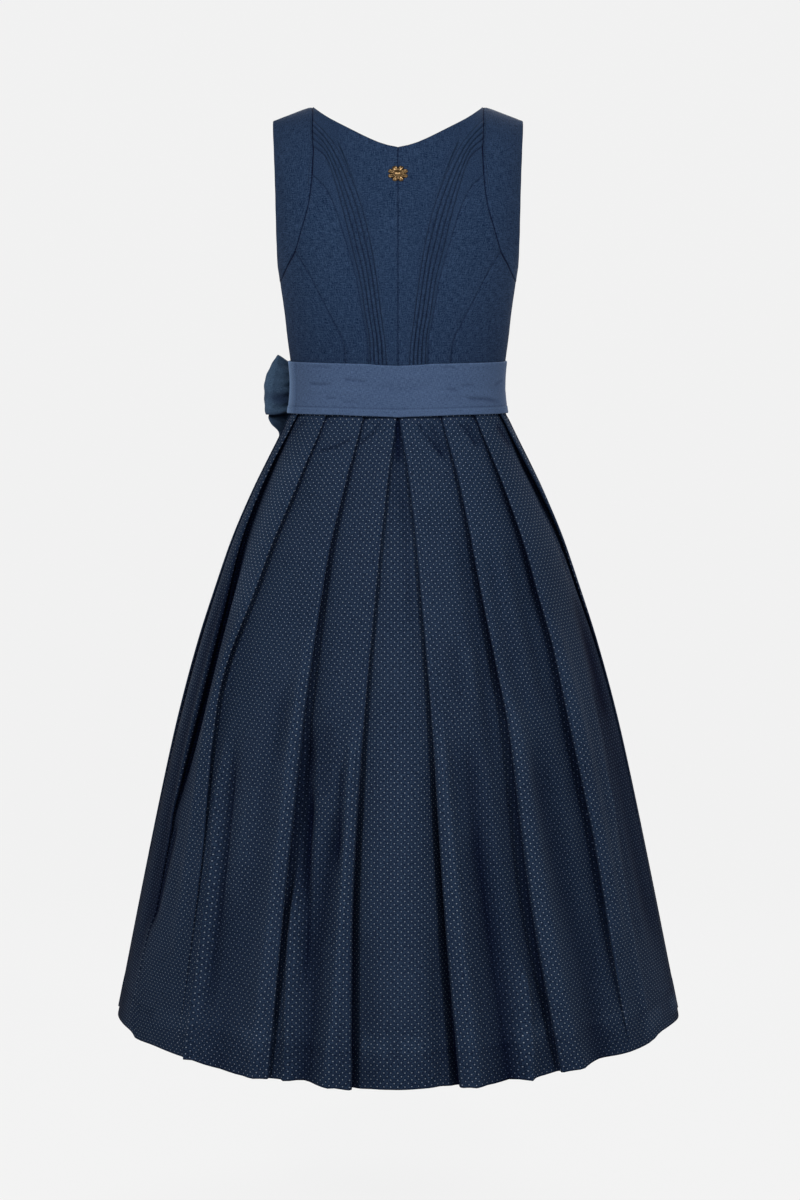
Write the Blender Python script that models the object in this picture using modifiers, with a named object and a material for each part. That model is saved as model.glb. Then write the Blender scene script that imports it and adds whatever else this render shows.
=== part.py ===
# Sleeveless dirndl: pieced bodice with pin tucks, pleated skirt, apron and tied band.
# Metres. The back of the dress faces -Y and its right side is at +X.
# The origin lies between the two shoulder straps, where the wearer's shoulders carry it.

import bpy
import bmesh
import math
from collections import namedtuple

SHOULDER_HEIGHT = 0.349      # origin above the middle of the waist band
BODICE_WALL = 0.0015
SKIRT_WALL = 0.0010
APRON_WALL = 0.0010
BAND_WALL = 0.0017
RIBBON_WALL = 0.0014
SEAM_GAP = 0.0003            # space left between neighbouring pieces
BAND_HALF = 0.034            # half the height of the waist band
CAP_START = 0.190            # height at which the bodice begins to close over the shoulder
CAP_LENGTH = 0.250           # length along the cloth from there to the top of the strap
RIDGE_Y = 0.008              # the straps are highest a little in front of the middle
RIDGE_SLOPE = 0.370          # fall of the shoulder per metre of width
RIDGE_MID_X = 0.137
RIDGE_MID_HEIGHT = 0.3495
TUCK_RAISE = 0.0007
TUCK_LINES = 4
BAND_OUT = BODICE_WALL + TUCK_RAISE + SEAM_GAP
HEM_HEIGHT = -0.832
APRON_HEM = -0.755
APRON_WAVES = 9
APRON_OUT = 0.0027           # middle of the apron cloth from the middle of the skirt cloth
WAIST_SEAM = 0.0             # the bodice and the skirt meet here, under the band
BOW_ANGLE = -123.0           # place of the knot, degrees from the centre back
LOOP_LENGTH = 0.0615
KNOT_ALONG = 0.0105
KNOT_OUT = 0.0080
KNOT_TALL = 0.0155
KNOT_BEVEL = 0.0048
LOOP_BACK_LEAN = 0.10        # radians that each loop stands off the waist
LOOP_FRONT_LEAN = 0.30
LOOP_BACK_SLANT = 0.20       # how much shorter the upper edge of each loop is
LOOP_FRONT_SLANT = 0.10
ROSETTE_HEIGHT = 0.2715
ROSETTE_HALF_WIDE = 0.0130
ROSETTE_HALF_TALL = 0.0102
ROSETTE_PETALS = 8

# Inside of the bodice: half width, half depth behind and in front, roundness.
Ring = namedtuple("Ring", "height side back front power")
BODY = [
    Ring(-0.040, 0.1380, 0.0968, 0.0918, 2.30),
    Ring(0.000, 0.1380, 0.0970, 0.0920, 2.30),
    Ring(0.033, 0.1385, 0.0985, 0.0930, 2.30),
    Ring(0.061, 0.1410, 0.1010, 0.0985, 2.32),
    Ring(0.100, 0.1454, 0.1045, 0.1130, 2.35),
    Ring(0.139, 0.1511, 0.1070, 0.1265, 2.40),
    Ring(0.165, 0.1550, 0.1080, 0.1290, 2.50),
    Ring(0.200, 0.1605, 0.1085, 0.1260, 2.72),
    Ring(0.235, 0.1625, 0.1085, 0.1200, 2.85),
    Ring(0.410, 0.1630, 0.1085, 0.1120, 2.85),
]

# Middle of the skirt cloth where it lies furthest out.
SKIRT = [
    Ring(-0.832, 0.3710, 0.3760, 0.3580, 1.83),
    Ring(-0.663, 0.3383, 0.3260, 0.3180, 1.88),
    Ring(-0.530, 0.3108, 0.2930, 0.2860, 1.90),
    Ring(-0.430, 0.2880, 0.2680, 0.2600, 1.94),
    Ring(-0.330, 0.2607, 0.2360, 0.2280, 1.98),
    Ring(-0.264, 0.2393, 0.2120, 0.2040, 2.02),
    Ring(-0.199, 0.2167, 0.1870, 0.1780, 2.06),
    Ring(-0.133, 0.1890, 0.1530, 0.1460, 2.12),
    Ring(-0.100, 0.1732, 0.1350, 0.1280, 2.18),
    Ring(-0.068, 0.1572, 0.1160, 0.1105, 2.24),
    Ring(-0.055, 0.1508, 0.1085, 0.1030, 2.26),
    Ring(-0.042, 0.1445, 0.1022, 0.0968, 2.28),
    Ring(-0.034, 0.1388, 0.0980, 0.0930, 2.30),
    Ring(0.000, 0.1385, 0.0978, 0.0928, 2.30),
]

# Seams of the back as half width at each height, from the waist up.
Seam = namedtuple("Seam", "x height")
TUCK_INNER = [Seam(0.0140, 0.000), Seam(0.0145, 0.062), Seam(0.0200, 0.090), Seam(0.0275, 0.140),
              Seam(0.0385, 0.188), Seam(0.0470, 0.226), Seam(0.0560, 0.254), Seam(0.0690, 0.290),
              Seam(0.0800, 0.312), Seam(0.0925, 0.326), Seam(0.1078, 0.3400)]
TUCK_OUTER = [Seam(0.0345, 0.000), Seam(0.0355, 0.062), Seam(0.0400, 0.090), Seam(0.0475, 0.140),
              Seam(0.0560, 0.174), Seam(0.0640, 0.207), Seam(0.0720, 0.238), Seam(0.0800, 0.266),
              Seam(0.0900, 0.292), Seam(0.1065, 0.3065)]
PRINCESS = [Seam(0.0370, 0.000), Seam(0.0382, 0.062), Seam(0.0430, 0.088), Seam(0.0510, 0.136),
            Seam(0.0600, 0.170), Seam(0.0680, 0.196), Seam(0.0760, 0.222), Seam(0.0870, 0.248),
            Seam(0.0960, 0.260), Seam(0.1078, 0.2710)]
YOKE = [Seam(0.1535, 0.1330), Seam(0.1480, 0.1400), Seam(0.1390, 0.1580), Seam(0.1290, 0.1760),
        Seam(0.1215, 0.2010), Seam(0.1140, 0.2260), Seam(0.1095, 0.2500), Seam(0.1078, 0.2710),
        Seam(0.1070, 0.2900), Seam(0.1065, 0.3065), Seam(0.1075, 0.3300), Seam(0.1078, 0.3400),
        Seam(0.1085, 0.3500)]
SIDE_BACK = [Seam(0.0710, 0.000), Seam(0.0720, 0.048), Seam(0.0770, 0.075), Seam(0.0860, 0.105),
             Seam(0.0970, 0.133), Seam(0.1090, 0.155), Seam(0.1290, 0.176)]
NECK_BACK = [Seam(0.0000, 0.3060), Seam(0.0180, 0.3085), Seam(0.0370, 0.3165), Seam(0.0580, 0.3270),
             Seam(0.0830, 0.3390), Seam(0.1085, 0.3520)]
ARMHOLE = [Seam(0.1545, 0.1500), Seam(0.1552, 0.1570), Seam(0.1560, 0.1720), Seam(0.1570, 0.2000),
           Seam(0.1575, 0.2350), Seam(0.1580, 0.2730), Seam(0.1590, 0.3120), Seam(0.1600, 0.3394)]
NECK_FRONT = [Seam(0.0000, 0.2060), Seam(0.0350, 0.2090), Seam(0.0650, 0.2190), Seam(0.0850, 0.2370),
              Seam(0.0960, 0.2650), Seam(0.1040, 0.3000), Seam(0.1110, 0.3350), Seam(0.1150, 0.3572)]

# Folded edges of the skirt, degrees from the centre back at six heights.
Fold = namedtuple("Fold", "waist hip thigh knee calf hem")
FOLD_HEIGHTS = Fold(-0.035, -0.100, -0.210, -0.380, -0.590, HEM_HEIGHT)
RIGHT_FOLDS = [
    Fold(1.0, 4.2, 7.0, 9.3, 10.3, 12.1),
    Fold(31.5, 30.3, 29.0, 29.9, 30.4, 32.7),
    Fold(52.6, 51.7, 51.5, 49.8, 52.1, 51.0),
    Fold(73.0, 71.0, 72.5, 69.5, 69.0, 69.0),
    Fold(92.0, 91.0, 90.5, 89.5, 89.0, 88.0),
    Fold(112.0, 111.0, 110.0, 110.0, 110.0, 109.0),
]
LEFT_FOLDS = [
    Fold(1.0, 3.8, 6.8, 9.3, 10.4, 8.0),
    Fold(25.4, 25.7, 26.6, 25.7, 26.9, 26.7),
    Fold(49.5, 49.4, 51.1, 53.5, 50.0, 48.1),
    Fold(68.5, 71.0, 70.5, 70.0, 68.0, 67.5),
    Fold(90.0, 90.5, 90.5, 90.0, 89.0, 88.0),
    Fold(111.0, 111.0, 110.0, 110.0, 110.0, 109.0),
]

# How far apart the layers of a fold lie, and how far the upper one laps over.
Drape = namedtuple("Drape", "height step lap")
DRAPE = [
    Drape(HEM_HEIGHT, 0.0088, 0.0060),
    Drape(-0.590, 0.0075, 0.0075),
    Drape(-0.380, 0.0058, 0.0090),
    Drape(-0.210, 0.0042, 0.0100),
    Drape(-0.100, 0.0028, 0.0110),
    Drape(-0.035, 0.0017, 0.0120),
    Drape(0.000, 0.0017, 0.0120),
]
# One fold, going outwards: place in laps from the edge, depth in steps.
Layer = namedtuple("Layer", "lap step")
FOLD_LAYERS = [Layer(-0.35, 1.95), Layer(0.55, 2.00), Layer(1.00, 1.50), Layer(0.50, 1.00),
               Layer(0.00, 0.50), Layer(0.45, 0.00)]
# The cloth between two folds: share of the way, depth in steps.
Panel = namedtuple("Panel", "share step")
FOLD_PANEL = [Panel(0.32, 0.15), Panel(0.60, 0.80), Panel(0.84, 1.65)]
FRONT_WAVES = 8
SKIRT_HEIGHTS = [HEM_HEIGHT, -0.755, -0.663, -0.540, -0.430, -0.330, -0.250, -0.180, -0.125,
                 -0.085, -0.062, -0.048, -0.034, 0.0]

# Rows of the waist band: height, and how far its outer face swells.
BandRow = namedtuple("BandRow", "height swell")
BAND_STEPS = 60
BAND_ROWS = [BandRow(-BAND_HALF, 0.0), BandRow(-0.031, 0.0003), BandRow(-0.012, -0.0002),
             BandRow(0.010, 0.0002), BandRow(0.030, 0.0), BandRow(BAND_HALF, 0.0)]

ApronRow = namedtuple("ApronRow", "height spread wave")
APRON = [
    ApronRow(APRON_HEM, 57.0, 0.0050),
    ApronRow(-0.540, 60.0, 0.0042),
    ApronRow(-0.330, 64.0, 0.0032),
    ApronRow(-0.125, 70.0, 0.0022),
    ApronRow(-0.048, 74.0, 0.0014),
    ApronRow(-0.034, 75.0, 0.0006),
]

# Bow loop: share of its length, half opening, lowest and highest edge.
Loop = namedtuple("Loop", "share open low high")
LOOP_BACK = [
    Loop(0.00, 0.0030, -0.0120, 0.0120),
    Loop(0.18, 0.0060, -0.0190, 0.0220),
    Loop(0.41, 0.0105, -0.0260, 0.0310),
    Loop(0.67, 0.0140, -0.0310, 0.0375),
    Loop(0.88, 0.0110, -0.0345, 0.0425),
    Loop(1.00, 0.0000, -0.0350, 0.0440),
]
LOOP_FRONT = [
    Loop(0.00, 0.0030, -0.0120, 0.0120),
    Loop(0.18, 0.0055, -0.0240, 0.0220),
    Loop(0.41, 0.0085, -0.0330, 0.0300),
    Loop(0.67, 0.0110, -0.0390, 0.0350),
    Loop(0.88, 0.0085, -0.0410, 0.0360),
    Loop(1.00, 0.0000, -0.0400, 0.0350),
]

# Tails of the bow: height of the row, its two edges in degrees, clearance from the skirt.
Tail = namedtuple("Tail", "height rear fore out")
TAIL_FRONT = [
    Tail(-0.060, -132.0, -145.0, 0.0200),
    Tail(-0.085, -131.0, -151.0, 0.0140),
    Tail(-0.125, -132.0, -155.0, 0.0100),
    Tail(-0.180, -134.0, -156.0, 0.0090),
    Tail(-0.250, -136.0, -156.0, 0.0090),
    Tail(-0.330, -138.0, -156.0, 0.0095),
    Tail(-0.430, -139.0, -155.5, 0.0100),
]
TAIL_BACK = [
    Tail(-0.062, -104.0, -127.0, 0.0120),
    Tail(-0.085, -106.0, -127.5, 0.0110),
    Tail(-0.125, -109.0, -129.0, 0.0095),
    Tail(-0.180, -112.0, -131.0, 0.0090),
    Tail(-0.250, -115.0, -132.0, 0.0090),
    Tail(-0.330, -117.5, -133.0, 0.0095),
    Tail(-0.400, -119.0, -133.5, 0.0100),
]
# Upper ends of the tails, measured from the knot: the rear one bulges out below the loop.
Bulge = namedtuple("Bulge", "rear_along rear_out rear_height fore_along fore_out fore_height")
TAIL_BACK_TOP = [
    Bulge(0.0085, 0.0000, -0.0158, 0.0012, 0.0000, -0.0158),
    Bulge(0.0470, -0.0084, -0.0315, -0.0016, 0.0051, -0.0315),
    Bulge(0.0790, -0.0157, -0.0375, -0.0047, 0.0078, -0.0400),
    Bulge(0.0795, -0.0165, -0.0480, -0.0051, 0.0100, -0.0500),
]
TAIL_FRONT_TOP = [
    Bulge(-0.0012, 0.0000, -0.0158, -0.0085, 0.0000, -0.0158),
    Bulge(-0.0080, 0.0053, -0.0400, -0.0240, 0.0060, -0.0400),
]


# Rings of the rosette from its rim to its boss: share of its size, height above its back.
RosetteRing = namedtuple("RosetteRing", "size lift")
ROSETTE_RINGS = [RosetteRing(1.00, 0.0000), RosetteRing(1.00, 0.0008), RosetteRing(0.72, 0.0019),
                 RosetteRing(0.38, 0.0014), RosetteRing(0.26, 0.0028)]


def clear_scene():
    for obj in list(bpy.data.objects):
        bpy.data.objects.remove(obj, do_unlink=True)


def collection(name):
    made = bpy.data.collections.new(name)
    bpy.context.scene.collection.children.link(made)
    return made


def material(name, colour, rough, metal=0.0):
    made = bpy.data.materials.new(name)
    made.use_nodes = True
    shader = made.node_tree.nodes["Principled BSDF"]
    shader.inputs["Base Color"].default_value = (*colour, 1.0)
    shader.inputs["Roughness"].default_value = rough
    shader.inputs["Metallic"].default_value = metal
    made.diffuse_color = (*colour, 1.0)
    return made


def read_table(rows, column, height):
    # Smooth value of one column, without overshoot between its rows.
    hs = [row.height for row in rows]
    vs = [getattr(row, column) for row in rows]
    if height <= hs[0]:
        return vs[0]
    if height >= hs[-1]:
        return vs[-1]
    slopes = [(vs[i + 1] - vs[i]) / (hs[i + 1] - hs[i]) for i in range(len(hs) - 1)]
    tangents = [slopes[0]]
    for before, after in zip(slopes, slopes[1:]):
        tangents.append(0.0 if before * after <= 0 else 2 * before * after / (before + after))
    tangents.append(slopes[-1])
    i = max(k for k in range(len(hs) - 1) if hs[k] <= height)
    span = hs[i + 1] - hs[i]
    t = (height - hs[i]) / span
    return (vs[i] * (2 * t**3 - 3 * t**2 + 1) + tangents[i] * span * (t**3 - 2 * t**2 + t)
            + vs[i + 1] * (3 * t**2 - 2 * t**3) + tangents[i + 1] * span * (t**3 - t**2))


def ring_point(rows, degrees, height):
    # Point of a rounded ring at an angle from the centre back.
    sine = math.sin(math.radians(degrees))
    cosine = math.cos(math.radians(degrees))
    side = read_table(rows, "side", height)
    deep = read_table(rows, "back" if cosine > 0 else "front", height)
    power = read_table(rows, "power", height)
    reach = ((abs(sine) / side) ** power + (abs(cosine) / deep) ** power) ** (-1.0 / power)
    return reach * sine, -reach * cosine


def ring_normal(rows, degrees, height):
    ahead = ring_point(rows, degrees + 0.2, height)
    behind = ring_point(rows, degrees - 0.2, height)
    run = (ahead[0] - behind[0], ahead[1] - behind[1])
    size = math.hypot(*run)
    return run[1] / size, -run[0] / size


def ring_out(rows, degrees, height, out):
    x, y = ring_point(rows, degrees, height)
    nx, ny = ring_normal(rows, degrees, height)
    return x + nx * out, y + ny * out


def ridge_height(x):
    return RIDGE_MID_HEIGHT - RIDGE_SLOPE * (abs(x) - RIDGE_MID_X)


def body_point(degrees, level):
    # Inside of the bodice. Level is a height below the cap and a length of cloth above it.
    if level <= CAP_START:
        x, y = ring_point(BODY, degrees, level)
        return (x, y, level)
    turn = min((level - CAP_START) / CAP_LENGTH, 1.0) * math.pi / 2
    x, y = ring_point(BODY, degrees, CAP_START + (RIDGE_MID_HEIGHT - CAP_START) * math.sin(turn))
    y = RIDGE_Y + (y - RIDGE_Y) * math.cos(turn)
    return (x, y, CAP_START + (ridge_height(x) - CAP_START) * math.sin(turn))


def body_normal(degrees, level):
    low = min(level, CAP_START + CAP_LENGTH - 0.004)
    a = body_point(degrees - 0.3, low)
    b = body_point(degrees + 0.3, low)
    c = body_point(degrees, low - 0.002)
    d = body_point(degrees, low + 0.002)
    u = [b[k] - a[k] for k in range(3)]
    v = [d[k] - c[k] for k in range(3)]
    n = (u[1] * v[2] - u[2] * v[1], u[2] * v[0] - u[0] * v[2], u[0] * v[1] - u[1] * v[0])
    size = math.sqrt(sum(k * k for k in n))
    return tuple(k / size for k in n)


def body_place(x, height, front=False):
    # Angle and level on the bodice of a point known by its half width and height.
    level = height
    form = height
    if height > CAP_START:
        part = min((height - CAP_START) / (ridge_height(x) - CAP_START), 1.0)
        level = CAP_START + CAP_LENGTH * math.asin(part) / (math.pi / 2)
        form = CAP_START + (RIDGE_MID_HEIGHT - CAP_START) * part
    low, high = 0.0, 90.0
    for _ in range(40):
        middle = (low + high) / 2
        if ring_point(BODY, middle, form)[0] < x:
            low = middle
        else:
            high = middle
    return (180.0 - low if front else low, level)


def along(points, count):
    # Even division of a broken line of angles and levels.
    lengths = [0.0]
    for a, b in zip(points, points[1:]):
        p, q = body_point(*a), body_point(*b)
        lengths.append(lengths[-1] + math.dist(p, q))
    made = []
    for k in range(count + 1):
        target = lengths[-1] * k / count
        i = max(n for n in range(len(lengths) - 1) if lengths[n] <= target + 1e-12)
        t = (target - lengths[i]) / (lengths[i + 1] - lengths[i])
        made.append(tuple(points[i][n] + (points[i + 1][n] - points[i][n]) * t for n in (0, 1)))
    made[-1] = points[-1]
    return made


def smooth_line(seam, front=False, steps=5):
    # The same seam as a curve through its rows.
    rows = [(row.x, row.height) for row in seam]
    made = []
    for i in range(len(rows) - 1):
        p0 = rows[max(i - 1, 0)]
        p1, p2 = rows[i], rows[i + 1]
        p3 = rows[min(i + 2, len(rows) - 1)]
        for k in range(steps):
            t = k / steps
            x, h = (0.5 * (2 * p1[n] + (p2[n] - p0[n]) * t
                           + (2 * p0[n] - 5 * p1[n] + 4 * p2[n] - p3[n]) * t * t
                           + (3 * p1[n] - p0[n] - 3 * p2[n] + p3[n]) * t**3) for n in (0, 1))
            made.append(body_place(max(x, 0.0), h, front))
    made.append(body_place(rows[-1][0], rows[-1][1], front))
    return made


def part_of(line, low, high):
    # Stretch of a seam between two heights of its own rows, ends cut exactly.
    kept = [p for p in line if body_point(*p)[2] > low + 0.0005 and body_point(*p)[2] < high - 0.0005]
    return [cut_at(line, low)] + kept + [cut_at(line, high)]


def cut_at(line, height):
    for a, b in zip(line, line[1:]):
        ha, hb = body_point(*a)[2], body_point(*b)[2]
        if (ha - height) * (hb - height) <= 0 and abs(hb - ha) > 1e-9:
            t = (height - ha) / (hb - ha)
            return tuple(a[n] + (b[n] - a[n]) * t for n in (0, 1))
    return line[-1] if abs(body_point(*line[-1])[2] - height) < 0.01 else line[0]


def fill_patch(left, right, bottom, top):
    # Grid of angles and levels between four edges that share their corners.
    rows, cols = len(left) - 1, len(bottom) - 1
    grid = []
    for j in range(rows + 1):
        v = j / rows
        row = []
        for i in range(cols + 1):
            u = i / cols
            row.append(tuple(
                (1 - u) * left[j][n] + u * right[j][n] + (1 - v) * bottom[i][n] + v * top[i][n]
                - (1 - u) * (1 - v) * left[0][n] - u * (1 - v) * right[0][n]
                - (1 - u) * v * left[-1][n] - u * v * right[-1][n] for n in (0, 1)))
        grid.append(row)
    return grid


def lay_patch(grid, raise_of=None):
    # Inner and outer points of a panel, drawn in by half the seam gap all round.
    rows, cols = len(grid) - 1, len(grid[0]) - 1
    base = [[body_point(*p) for p in row] for row in grid]
    normals = [[body_normal(*p) for p in row] for row in grid]
    inner, outer = [], []
    for j in range(rows + 1):
        inner_row, outer_row = [], []
        for i in range(cols + 1):
            n = normals[j][i]
            point = list(base[j][i])
            for edge, step, near in ((i == 0, (0, 1), 1), (i == cols, (0, -1), 1),
                                     (j == 0, (1, 0), 0), (j == rows, (-1, 0), 0)):
                if not edge:
                    continue
                if near:
                    a, b = base[max(j - 1, 0)][i], base[min(j + 1, rows)][i]
                else:
                    a, b = base[j][max(i - 1, 0)], base[j][min(i + 1, cols)]
                t = [b[k] - a[k] for k in range(3)]
                side = [n[1] * t[2] - n[2] * t[1], n[2] * t[0] - n[0] * t[2],
                        n[0] * t[1] - n[1] * t[0]]
                size = math.sqrt(sum(k * k for k in side))
                near_j = min(max(j, 1), rows - 1) if near else j + step[0]
                near_i = i + step[1] if near else min(max(i, 1), cols - 1)
                inward = base[near_j][near_i]
                sign = sum(side[k] * (inward[k] - base[j][i][k]) for k in range(3))
                scale = (SEAM_GAP / 2) / size * (1 if sign > 0 else -1)
                point = [point[k] + side[k] * scale for k in range(3)]
            more = raise_of(i, j) if raise_of else 0.0
            inner_row.append(tuple(point))
            outer_row.append(tuple(point[k] + n[k] * (BODICE_WALL + more) for k in range(3)))
        inner.append(inner_row)
        outer.append(outer_row)
    return inner, outer


def build_wall(name, inner, outer, look, home, closed=False, mirror=False):
    # Closed solid between two matching grids of points, heights taken from the waist.
    rows, cols = len(inner), len(inner[0])
    mesh = bpy.data.meshes.new(name)
    bm = bmesh.new()
    sign = -1.0 if mirror else 1.0

    def put(grid):
        return [[bm.verts.new((sign * p[0], p[1], p[2] - SHOULDER_HEIGHT)) for p in row]
                for row in grid]

    a, b = put(inner), put(outer)
    last = cols if closed else cols - 1
    for j in range(rows - 1):
        for i in range(last):
            k = (i + 1) % cols
            bm.faces.new((a[j][i], a[j + 1][i], a[j + 1][k], a[j][k]))
            bm.faces.new((b[j][i], b[j][k], b[j + 1][k], b[j + 1][i]))
    for i in range(last):
        k = (i + 1) % cols
        bm.faces.new((a[0][i], a[0][k], b[0][k], b[0][i]))
        bm.faces.new((a[-1][i], b[-1][i], b[-1][k], a[-1][k]))
    if not closed:
        for j in range(rows - 1):
            bm.faces.new((a[j][0], b[j][0], b[j + 1][0], a[j + 1][0]))
            bm.faces.new((a[j][-1], a[j + 1][-1], b[j + 1][-1], b[j][-1]))
    bmesh.ops.recalc_face_normals(bm, faces=bm.faces)
    bm.to_mesh(mesh)
    bm.free()
    obj = bpy.data.objects.new(name, mesh)
    mesh.materials.append(look)
    home.objects.link(obj)
    return obj


def join_patches(patches):
    # Neighbouring grids with a shared edge, side by side.
    return [sum((part[j] if n == 0 else part[j][1:] for n, part in enumerate(patches)), [])
            for j in range(len(patches[0]))]


def build_bodice(look, home):
    rows, tuck_cols = 12, TUCK_LINES * 2
    tuck_in, tuck_out = smooth_line(TUCK_INNER), smooth_line(TUCK_OUTER)
    princess, yoke = smooth_line(PRINCESS), smooth_line(YOKE)
    side_back, neck = smooth_line(SIDE_BACK), smooth_line(NECK_BACK)
    armhole = smooth_line(ARMHOLE)
    top_in = TUCK_INNER[-1].height
    top_out = TUCK_OUTER[-1].height
    top_princess = PRINCESS[-1].height
    top_side = SIDE_BACK[-1].height
    yoke_top = body_place(YOKE[-1].x, YOKE[-1].height)

    # Parts of the yoke seam, from the side seam up to the neck.
    yoke_low = along([(90.0, YOKE[0].height)] + part_of(yoke, YOKE[1].height, top_side), 4)
    yoke_mid = along(part_of(yoke, top_side, top_princess), 4)
    yoke_short = along(part_of(yoke, top_princess, top_out), 2)
    yoke_tucks = along(part_of(yoke, top_out, top_in), tuck_cols)
    yoke_last = [yoke_tucks[-1], yoke_top]
    yoke_mid[0] = yoke_low[-1]
    yoke_short[0] = yoke_mid[-1]
    yoke_tucks[0] = yoke_short[-1]

    princess_line = along(princess[:-1] + [yoke_mid[-1]], rows)
    tuck_in_line = along(tuck_in[:-1] + [yoke_tucks[-1]], rows)
    tuck_out_line = along(tuck_out[:-1] + [yoke_tucks[0]], rows)
    centre = along([(0.0, 0.0), body_place(0.0, 0.15), (0.0, neck[0][1])], rows)
    neck_line = along(neck[:-1] + [yoke_top], 4)
    side_back_line = along(side_back[:-1] + [yoke_low[-1]], 8)

    def waist(a, b, count):
        return [(a[0] + (b[0] - a[0]) * k / count, 0.0) for k in range(count + 1)]

    inner_patch = fill_patch(centre, tuck_in_line, waist(centre[0], tuck_in_line[0], 5),
                             neck_line + [yoke_tucks[-1]])
    tuck_patch = fill_patch(tuck_in_line, tuck_out_line,
                            waist(tuck_in_line[0], tuck_out_line[0], tuck_cols), yoke_tucks[::-1])
    outer_patch = fill_patch(tuck_out_line, princess_line,
                             waist(tuck_out_line[0], princess_line[0], 2), yoke_short[::-1])
    centre_grid = join_patches([inner_patch, tuck_patch, outer_patch])

    def tuck_raise(i, j):
        line = i - 5
        return TUCK_RAISE if 0 < line < tuck_cols and line % 2 else 0.0

    # The middle back runs to a narrow tip where the princess and yoke seams meet.
    right = side_back_line + yoke_mid[1:]
    left = list(princess_line)
    left[-1] = tuple(0.97 * left[-1][n] + 0.03 * left[-2][n] for n in (0, 1))
    right[-1] = tuple(0.94 * right[-1][n] + 0.06 * right[-2][n] for n in (0, 1))
    middle_grid = fill_patch(left, right, waist(left[0], right[0], 3), along([left[-1], right[-1]], 3))

    side_line = [(90.0, YOKE[0].height * k / 8) for k in range(9)]
    side_grid = fill_patch(side_back_line, side_line, waist(side_back_line[0], side_line[0], 4),
                           yoke_low[::-1])

    yoke_line = yoke_low + yoke_mid[1:] + yoke_short[1:] + yoke_tucks[1:] + yoke_last[1:]
    neck_end = body_place(NECK_FRONT[-1].x, ridge_height(NECK_FRONT[-1].x))
    top = CAP_START + CAP_LENGTH
    yoke_line = yoke_line + [(neck_end[0], top)]
    arm_end = (body_place(ARMHOLE[-1].x, ridge_height(ARMHOLE[-1].x))[0], top)
    arm_start = (90.0, ARMHOLE[0].height)
    arm_line = along([arm_start] + armhole[1:-1] + [arm_end], len(yoke_line) - 1)
    strap_grid = fill_patch(yoke_line, arm_line, along([yoke_line[0], arm_start], 3),
                            along([yoke_line[-1], arm_end], 3))

    # Front: centre edge and neckline on one side, side seam and armhole on the other.
    neck_front = smooth_line(NECK_FRONT, front=True)
    neck_front[-1] = (180.0 - neck_end[0], top)
    arm_front = [(180.0 - a, level) for a, level in [arm_start] + armhole[1:-1] + [arm_end]]
    front_neck = along(neck_front, 10)
    front_edge = [(180.0, neck_front[0][1] * k / 7) for k in range(7)] + front_neck
    side_up = [(90.0, ARMHOLE[0].height * k / 7) for k in range(7)] + along(arm_front, 10)
    front_grid = fill_patch(side_up, front_edge, waist(side_up[0], front_edge[0], 7),
                            along([side_up[-1], front_edge[-1]], 7))

    panels = [("back_centre", centre_grid, tuck_raise), ("back_middle", middle_grid, None),
              ("back_side", side_grid, None), ("back_strap", strap_grid, None),
              ("front", front_grid, None)]
    for name, grid, raised in panels:
        inner, outer = lay_patch(grid, raised)
        build_wall(name + "_right", inner, outer, look, home)
        build_wall(name + "_left", inner, outer, look, home, mirror=True)


def fold_angle(fold, height):
    points = sorted(zip(FOLD_HEIGHTS, fold))
    Row = namedtuple("Row", "height angle")
    return read_table([Row(*p) for p in points], "angle", height)


def side_of_skirt(folds, height):
    # Angles and depths of the skirt cloth from the centre back round to the front.
    step = read_table(DRAPE, "step", height)
    lap = read_table(DRAPE, "lap", height)
    angles = [fold_angle(fold, height) for fold in folds]
    made = [(0.0, 2.0 * step)]
    for number, angle in enumerate(angles):
        reach = math.hypot(*ring_point(SKIRT, angle, height))
        turn = math.degrees(lap / reach)
        layers = FOLD_LAYERS if number else FOLD_LAYERS[1:]
        for layer in layers:
            made.append((angle + layer.lap * turn, layer.step * step))
        if number + 1 < len(angles):
            start = angle + FOLD_LAYERS[-1].lap * turn
            stop = angles[number + 1] - 0.35 * turn
            for panel in FOLD_PANEL:
                made.append((start + (stop - start) * panel.share, panel.step * step))
        if number + 2 == len(angles):
            split = len(made) - 2
    start = made[-1][0]
    for k in range(1, FRONT_WAVES + 1):
        angle = start + (180.0 - start) * k / FRONT_WAVES
        made.append((angle, step * (0.5 - 0.5 * math.cos(math.pi * k))))
    return made, split


def build_skirt(look, home):
    back_inner, back_outer, front_inner, front_outer = [], [], [], []
    for height in SKIRT_HEIGHTS:
        right, split = side_of_skirt(RIGHT_FOLDS, height)
        left, _ = side_of_skirt(LEFT_FOLDS, height)
        left = [(-a, d) for a, d in left]
        back = left[split:0:-1] + right[:split + 1]
        front = right[split:] + left[-2:split - 1:-1]
        level = height - (SEAM_GAP / 2 if height == WAIST_SEAM else 0.0)
        for path, inner, outer in ((back, back_inner, back_outer),
                                   (front, front_inner, front_outer)):
            points = [ring_out(SKIRT, a, height, -d) for a, d in path]
            inner_row, outer_row = offset_path(points, SKIRT_WALL, level, SEAM_GAP / 2)
            inner.append(inner_row)
            outer.append(outer_row)
    build_wall("skirt_back", back_inner, back_outer, look, home)
    build_wall("skirt_front", front_inner, front_outer, look, home)


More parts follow.
